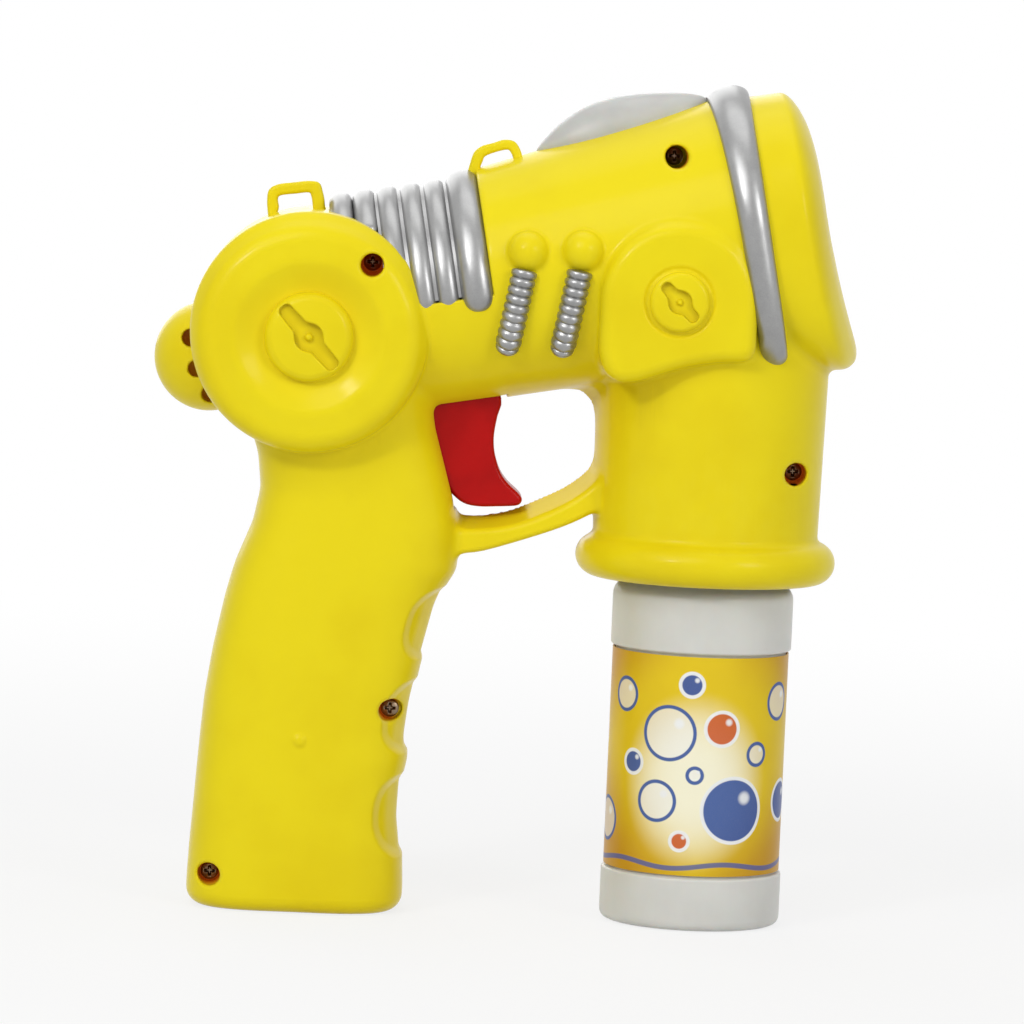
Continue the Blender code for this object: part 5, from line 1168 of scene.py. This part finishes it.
def hoopPath(steps=220):
    # round the horn's own section, from low on one side over the top to low on the other
    h = hoopShape
    a = np.radians(np.linspace(-h["reach"], 180 + h["reach"], steps))
    c, s = np.cos(a), np.sin(a)
    e = np.where(s >= 0, 1.0, 2 / h["square"])
    y = h["radius"] * np.sign(c) * np.abs(c) ** e
    q = h["radius"] * np.sign(s) * np.abs(s) ** e * np.where(s >= 0, 1.0, h["drop"])
    x, z = fromLean(hoopW - h["tilt"] * (q + h["radius"]), hoopQ + q)
    path = np.stack([x, y, z], -1)
    run = runLength(path)
    even = np.linspace(0, run[-1], steps)
    path = np.stack([np.interp(even, run, path[:, k]) for k in range(3)], -1)
    along = np.tile([leanCos, 0.0, leanSin], (steps, 1))
    out = np.cross(np.gradient(path, axis=0), along)
    out /= np.linalg.norm(out, axis=1)[:, None]
    middleX, middleZ = fromLean(hoopW, hoopQ)
    out *= np.sign((out * (path - [middleX, 0, middleZ])).sum(1))[:, None]
    share = np.linspace(-1, 1, steps) ** 2
    share = share / (h["taper"] + share) * (1 + h["taper"])
    return path, out, along, h["rise"], h["topHalf"] + (h["endHalf"] - h["topHalf"]) * share


addPiece("frontHoop", *wrappedRib(*hoopPath(), hoopShape["sink"]), *silverBody, ["front_hoop"])

rodShape = {"radius": 2.35, "ring": 0.65, "rings": 10, "proud": 0.5, "steps": 200, "sides": 28,
            "rear": ((2.75, 152.2), (-0.7, 132.6)), "front": ((15.35, 152.6), (11.9, 132.8))}


def ribbedRod(top, low, way):
    # a tube down the barrel's side whose radius swells at each ring and closes at both ends
    s = rodShape
    t = np.linspace(0, 1, s["steps"])
    x, z = top[0] + (low[0] - top[0]) * t, top[1] + (low[1] - top[1]) * t
    path = np.stack([x, way * (barrelHalfWidth(x, z) + s["proud"]), z], -1)
    radius = s["radius"] + s["ring"] * np.abs(np.sin(np.pi * s["rings"] * t)) ** 0.6
    length = np.hypot(top[0] - low[0], top[1] - low[1])
    left = np.minimum((1 - t) * length / 2.2, t * length / 0.4)
    radius = radius * np.sqrt(np.clip(1 - (1 - np.clip(left, 0, 1)) ** 2, 0.001, 1))
    points = tubeGrid(path, radius, s["sides"])
    return points.reshape(-1, 3), sweptFaces(*points.shape[:2])


for way, sideName in ((-1, "right"), (1, "left")):
    for end in ("rear", "front"):
        rod = ribbedRod(*rodShape[end], way)
        addPiece("rod" + sideName.title() + end.title(), *rod, *silverBody, [f"rod_{sideName}_{end}"])
print("silver trims made")


# light dome on the crest

domeShape = {"start": 4.7, "length": 42.3, "half": 7.2, "wall": 1.4, "sink": 3.5,
             # how far along, height, share of the half width
             "rows": [(0.0, 0.0, 0.0), (0.03, 1.2, 0.34), (0.1, 3.1, 0.60), (0.2, 5.1, 0.83),
                      (0.34, 6.7, 0.97), (0.5, 6.9, 1.0), (0.66, 5.8, 0.94), (0.82, 4.0, 0.76),
                      (0.94, 2.0, 0.45), (1.0, 0.0, 0.0)]}


def domeSurface(inset):
    # arches across the crest whose height and half width follow rows along it
    rows = smoothRoute(domeShape["rows"], 8)
    h = np.maximum(rows[:, 1] - inset, 0)
    w = np.maximum(rows[:, 2] * domeShape["half"] - inset, 0)
    t = np.clip(rows[:, 0], inset / domeShape["length"], 1 - inset / domeShape["length"])
    lean = math.atan2(crestHeight(34.0) - crestHeight(8.0), 26.0)
    foot = np.array([domeShape["start"], 0, crestHeight(domeShape["start"])])
    along, up = np.array([math.cos(lean), 0, math.sin(lean)]), np.array([-math.sin(lean), 0, math.cos(lean)])
    a = np.linspace(0, np.pi, 41)
    flat = foot + (t * domeShape["length"])[:, None] * along
    arch = h[:, None] * np.sin(a) ** 0.9 - (w[:, None] * np.cos(a)) ** 2 / 60
    points = flat[:, None] + arch[..., None] * up
    points[..., 1] = w[:, None] * np.cos(a)
    skirt = np.stack([points[:, 0], points[:, -1]], 1) - domeShape["sink"] * up
    return np.concatenate([skirt[:, :1], points, skirt[:, 1:]], 1)


outer, inner = domeSurface(0.0), domeSurface(domeShape["wall"])
rows, columns = outer.shape[:2]
domeFaces = np.vstack([gridFaces(rows, columns), gridFaces(rows, columns)[:, ::-1] + rows * columns])
edge = np.concatenate([np.arange(rows) * columns, (rows - 1) * columns + np.arange(1, columns),
                       np.arange(rows - 2, -1, -1) * columns + columns - 1, np.arange(columns - 2, 0, -1)])
domeRim = np.stack([edge, np.roll(edge, -1), np.roll(edge, -1) + rows * columns, edge + rows * columns], -1)
domePoints = np.vstack([outer.reshape(-1, 3), inner.reshape(-1, 3)])
addPiece("lightDome", domePoints, np.vstack([domeFaces, domeRim]), "frost", "body", "frosted_plastic",
         ["light_dome"])


# bottle, label, dip tube and the ring in the mouth

bottleShape = {"x": 48.4,
               "outside": [(0, 1.6, 0), (14.0, 0.9, 2), (15.6, 0, 0.6), (16.6, 0, 0.3), (21.15, 0, 4.4),
                           (21.15, 12.2, 0.5), (20.0, 12.6, 0.4), (20.0, 64.4, 0.4), (21.15, 64.8, 0.5),
                           (21.15, 78.0, 2.8), (18.6, 80.4, 1.8), (15.6, 85.4, 2.5), (12.5, 86.4, 1.6),
                           (12.5, 90.0, 0.3), (13.1, 90.6, 0.4), (13.1, 91.6, 0.4), (12.5, 92.2, 0.3),
                           (12.5, 99.0, 0.4), (11.2, 99.0, 0.4)],
               "inside": [(11.2, 86.0, 1.5), (16.0, 83.2, 2.5), (19.85, 79.2, 2.5), (19.85, 65.5, 0.6),
                          (18.7, 64.6, 0.4), (18.7, 12.4, 0.4), (19.85, 11.6, 0.5), (19.85, 3.0, 2.0),
                          (17.0, 2.0, 1.0), (0, 2.4, 0)]}
centre, upright = (bottleShape["x"], 0, 0), (0, 0, 1)
turnedPiece("bottle", roundedLine(bottleShape["outside"] + bottleShape["inside"]), centre, upright, "bottle",
            "bottle", "white_plastic", ["bottle"], 128)
labelShape = {"radius": 20.65, "thick": 0.35, "low": 13.0, "high": 64.0}


def labelSheet(steps=160, rows=24):
    # a sleeve round the bottle: u goes once round from the far side, v from its lower edge up
    u, v = np.meshgrid(np.linspace(0, 1, steps + 1), np.linspace(0, 1, rows))
    a = 2 * np.pi * u + np.pi / 2
    z = labelShape["low"] + (labelShape["high"] - labelShape["low"]) * v
    skins = [np.stack([bottleShape["x"] - r * np.cos(a), r * np.sin(a), z], -1).reshape(-1, 3)
             for r in (labelShape["radius"], labelShape["radius"] - labelShape["thick"])]
    n = rows * (steps + 1)
    edges = [np.stack([e[:-1], e[1:], e[1:] + n, e[:-1] + n], -1)
             for e in (np.arange(steps + 1), np.arange(steps + 1) + (rows - 1) * (steps + 1))]
    faces = gridFaces(rows, steps + 1)
    uv = np.stack([u, v], -1).reshape(-1, 2)
    return np.vstack(skins), np.vstack([faces, faces[:, ::-1] + n] + edges), np.vstack([uv, uv])


labelPoints, labelFaces, labelUv = labelSheet()
addPiece("bottleLabel", labelPoints, labelFaces, "label", "bottle", "printed_film", ["bottle_label"],
         uv=labelUv)
dipLine = [(1.2, 5.0, 0), (1.2, 100.0, 0), (2.0, 100.0, 0.2), (2.0, 5.0, 0.2), (1.2, 5.0, 0)]
turnedPiece("dipTube", roundedLine(dipLine), centre, upright, "hose", "body", "clear_hose", ["dip_tube"], 40)
ringShape = {"inner": 11.0, "outer": 15.7, "deep": 6.2}
ringX, ringZ = fromLean(ringW, hoopQ)
ringIn, ringOut, ringDeep = ringShape["inner"], ringShape["outer"], ringShape["deep"]
ringLine = [(ringIn, 1.0, 0), (ringIn + 0.4, 0.0, 0.3), (ringOut, 0, 0.4), (ringOut, ringDeep, 0.5),
            (ringOut - 1.6, ringDeep + 0.7, 0.7), (ringOut - 2.6, ringDeep - 0.6, 0.6),
            (ringIn + 1.4, 4.6, 0.8), (ringIn, 3.6, 0.6), (ringIn, 1.0, 0)]
turnedPiece("bubbleRing", roundedLine(ringLine), (ringX, 0, ringZ), (leanCos, 0, leanSin), "nylon", "body",
            "nylon", ["bubble_ring"])
print("bottle and mouth made")


# screws with a cross recess

screwShape = {"head": 2.1, "high": 1.8, "edge": 0.35, "shank": 1.2, "under": -6.3, "end": 8.0,
              "doorUnder": 13.3, "doorEnd": 7.8, "recess": 0.55, "reach": 1.45, "depth": 1.1, "room": 2.8}


def screwField(sx, under, end, sz, way):
    s = screwShape

    def field(x, y, z):
        # a domed head, less two tapering crossed slots, and a plain shank
        h = (y - under) * -way
        dx, dz = np.abs(x - sx), np.abs(z - sz)
        r = np.hypot(dx, dz)
        top = s["high"] - 0.5 * (r / s["head"]) ** 2
        head = np.maximum(edgeRound(r - s["head"], h - top, s["edge"]), -h)
        deep = np.clip((s["high"] - h) / s["depth"], 0, 1)
        wide, long = s["recess"] / 2 * (1.2 - 0.4 * deep), s["reach"] * (1.0 - 0.55 * deep)
        cross = np.minimum(np.maximum(dx - long, dz - wide), np.maximum(dx - wide, dz - long))
        head = softMax(head, -np.maximum(cross, s["high"] - s["depth"] - h), 0.15)
        shank = shared(r - s["shank"], h - 0.3, -h - abs(end - under))
        return softMin(head, shank, 0.2)
    return field


def screw(name, sx, sz, under, end, way, low, high, kind, node):
    # a screw across the halves, in a box from low to high
    room = screwShape["room"]
    mouldedPiece(name, screwField(sx, under, end, sz, way), (sx - room, low, sz - room),
                 (sx + room, high, sz + room), 0.2, *kind, [node], 30000)


for k, (sx, sz) in enumerate(wellShape["places"], 1):
    screw(f"caseScrew{k}", sx, sz, screwShape["under"], screwShape["end"], 1, -8.9, 9.0, steelBody,
          f"case_screw_{k}")
screw("doorScrew", *fromTray(0.0, trayShape["screwUp"]), screwShape["doorUnder"], screwShape["doorEnd"], -1,
      7.0, 16.0, ("steel", "battery_door", "steel"), "door_screw")


# cells, spring and other inner pieces

cellShape = {"y": 2.4, "apart": 7.25,
             "line": [(0, -25.2, 0), (6.3, -25.2, 0.2), (6.8, -24.9, 0.3), (7.1, -24.3, 0.5),
                      (7.1, 23.4, 0.6), (6.5, 24.0, 0.4), (2.9, 24.0, 0.3), (2.7, 25.2, 0.3), (0, 25.2, 0)]}
for end, way in (("rear", -1), ("front", 1)):
    x, z = fromTray(way * cellShape["apart"], 0.0)
    axis = (traySin * -way, 0, trayCos * -way)
    turnedPiece("cell" + end.title(), roundedLine(cellShape["line"]), (x, cellShape["y"], z), axis, "cell",
                "body", "battery_wrap", ["battery_" + end], 64, True)
springShape = {"front": -17.4, "back": -29.0, "z": 107.0, "radius": 3.0, "wire": 0.4, "turns": 6,
               "perTurn": 28, "sides": 12}


def springPath():
    # a helix between the two ends, each drawn in by the wire's radius
    s = springShape
    turn = np.linspace(0, 1, s["turns"] * s["perTurn"] + 1)
    coil = 2 * np.pi * s["turns"] * turn
    x = s["front"] - s["wire"] - (s["front"] - s["back"] - 2 * s["wire"]) * turn
    return np.stack([x, s["radius"] * np.cos(coil), s["z"] + s["radius"] * np.sin(coil)], -1)


springRings = tubeGrid(springPath(), springShape["wire"], springShape["sides"])
spring = addPiece("triggerSpring", springRings.reshape(-1, 3), sweptFaces(*springRings.shape[:2]), *steelBody,
                  ["trigger_spring"])
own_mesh(spring)

innerLooks = {"trigger_pin": "steel", "switch_block": "black", "switch_leaf": "brass", "battery_box": "black",
              "contact_bridge": "steel", "contact_tab_rear": "steel", "contact_tab_front": "steel",
              "motor_can": "can", "motor_end_cap": "nylon", "motor_shaft": "steel", "pinion": "nylon",
              "blower_fan": "nylon", "blower_housing": "black", "idler_gear": "nylon", "idler_axle": "steel",
              "pump_gear": "nylon", "pump_axle": "steel", "pump_roller_upper": "steel",
              "pump_roller_lower": "steel", "pump_housing": "black", "feed_hose": "hose",
              "bottle_seal": "rubber", "socket_insert": "nylon", "led_board": "board", "led_lamp": "frost"}
for node, look in innerLooks.items():
    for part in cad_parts[node].material_slots:
        part.material = looks[look]
print("inner pieces finished:", len(innerLooks))


# floor, light and camera

stageShape = {"size": 60.0, "height": -0.0002, "tone": 0.74, "white": 0.80, "fade": (0.12, 0.75), "sky": 0.33}


def studioFloor():
    # pale ground that turns to plain white further from the object
    half, height = stageShape["size"] / 2, stageShape["height"]
    mesh = bpy.data.meshes.new("studioFloor")
    corners = [(x * half, y * half, height) for x, y in ((-1, -1), (1, -1), (1, 1), (-1, 1))]
    mesh.from_pydata(corners, [], [(0, 1, 2, 3)])
    floor = placed("studioFloor", mesh)
    ground = Finish("studioFloor", Roughness=0.9, Specular_IOR_Level=0.0)
    tone = stageShape["tone"]
    ground.feed(Base_Color=ground.mix((tone,) * 3, (tone + 0.02,) * 3, ground.noise(60.0)))
    far = ground.node("ShaderNodeVectorMath", {"operation": "LENGTH"}, {0: ground.place()}, "Value")
    white = far.ramp(*stageShape["fade"]) * (1 - stageShape["white"]) + stageShape["white"]
    glow = ground.node("ShaderNodeEmission", None, {"Color": (1, 1, 1, 1), "Strength": 1.0})
    plain = Value(ground, ground.shader.outputs[0])
    shade = ground.node("ShaderNodeMixShader", None, {0: ground.seenRays() * white, 1: plain, 2: glow})
    ground.tree.links.new(shade.socket, ground.tree.nodes["Material Output"].inputs[0])
    mesh.materials.append(ground.material)


def studioSky():
    # white where it is seen, and dimmer where it only lights
    world = bpy.data.worlds.new("studio")
    world.use_nodes = True
    bpy.context.scene.world = world
    sky = Nodes(world.node_tree)
    background = sky.tree.nodes["Background"]
    background.inputs["Color"].default_value = (1, 1, 1, 1)
    level = sky.seenRays() * (1 - stageShape["sky"]) + stageShape["sky"]
    sky.tree.links.new(level.socket, background.inputs["Strength"])


studioFloor()
studioSky()

lamps = {"keyLamp": {"at": (-0.55, -1.05, 1.05), "size": (0.95, 0.75), "power": 6.6},
         "smallLamp": {"at": (-0.70, -1.10, 0.78), "size": (0.18, 0.18), "power": 3.6},
         "fillLamp": {"at": (0.85, -1.0, 0.60), "size": (0.40, 0.45), "power": 4.4},
         "topLamp": {"at": (0.05, 0.10, 1.15), "size": (0.9, 0.7), "power": 2.4},
         "backLamp": {"at": (-0.3, 1.05, 0.6), "size": (0.9, 0.9), "power": 3.4}}
aim = Vector((0.0, 0.0, 0.11))
for name, lamp in lamps.items():
    data = bpy.data.lights.new(name, "AREA")
    data.shape = "RECTANGLE"
    data.size, data.size_y = lamp["size"]
    data.energy = lamp["power"]
    lampObject = placed(name, data)
    lampObject.location = lamp["at"]
    lampObject.rotation_euler = (aim - Vector(lamp["at"])).to_track_quat("-Z", "Y").to_euler()

cameraView = {"focal": 6024.0, "frame": 1024.0, "target": (0.00275, 0.0, 0.0943), "distance": 1.41,
              "turn": -1.2, "height": 4.5, "roll": 2.5}
eye = bpy.data.cameras.new("camera")
eye.sensor_width = 36.0
eye.sensor_fit = "HORIZONTAL"
eye.lens = cameraView["focal"] / cameraView["frame"] * eye.sensor_width
camera = placed("camera", eye)
az, el, roll = (math.radians(cameraView[k]) for k in ("turn", "height", "roll"))
outward = Vector((math.sin(az) * math.cos(el), -math.cos(az) * math.cos(el), math.sin(el)))
turned = outward.to_track_quat("Z", "Y").to_matrix() @ Matrix.Rotation(roll, 3, "Z")
stand = Vector(cameraView["target"]) + outward * cameraView["distance"]
camera.matrix_world = Matrix.Translation(stand) @ turned.to_4x4()
bpy.context.scene.camera = camera
bpy.context.scene.view_settings.view_transform = "Standard"
print("stage ready")
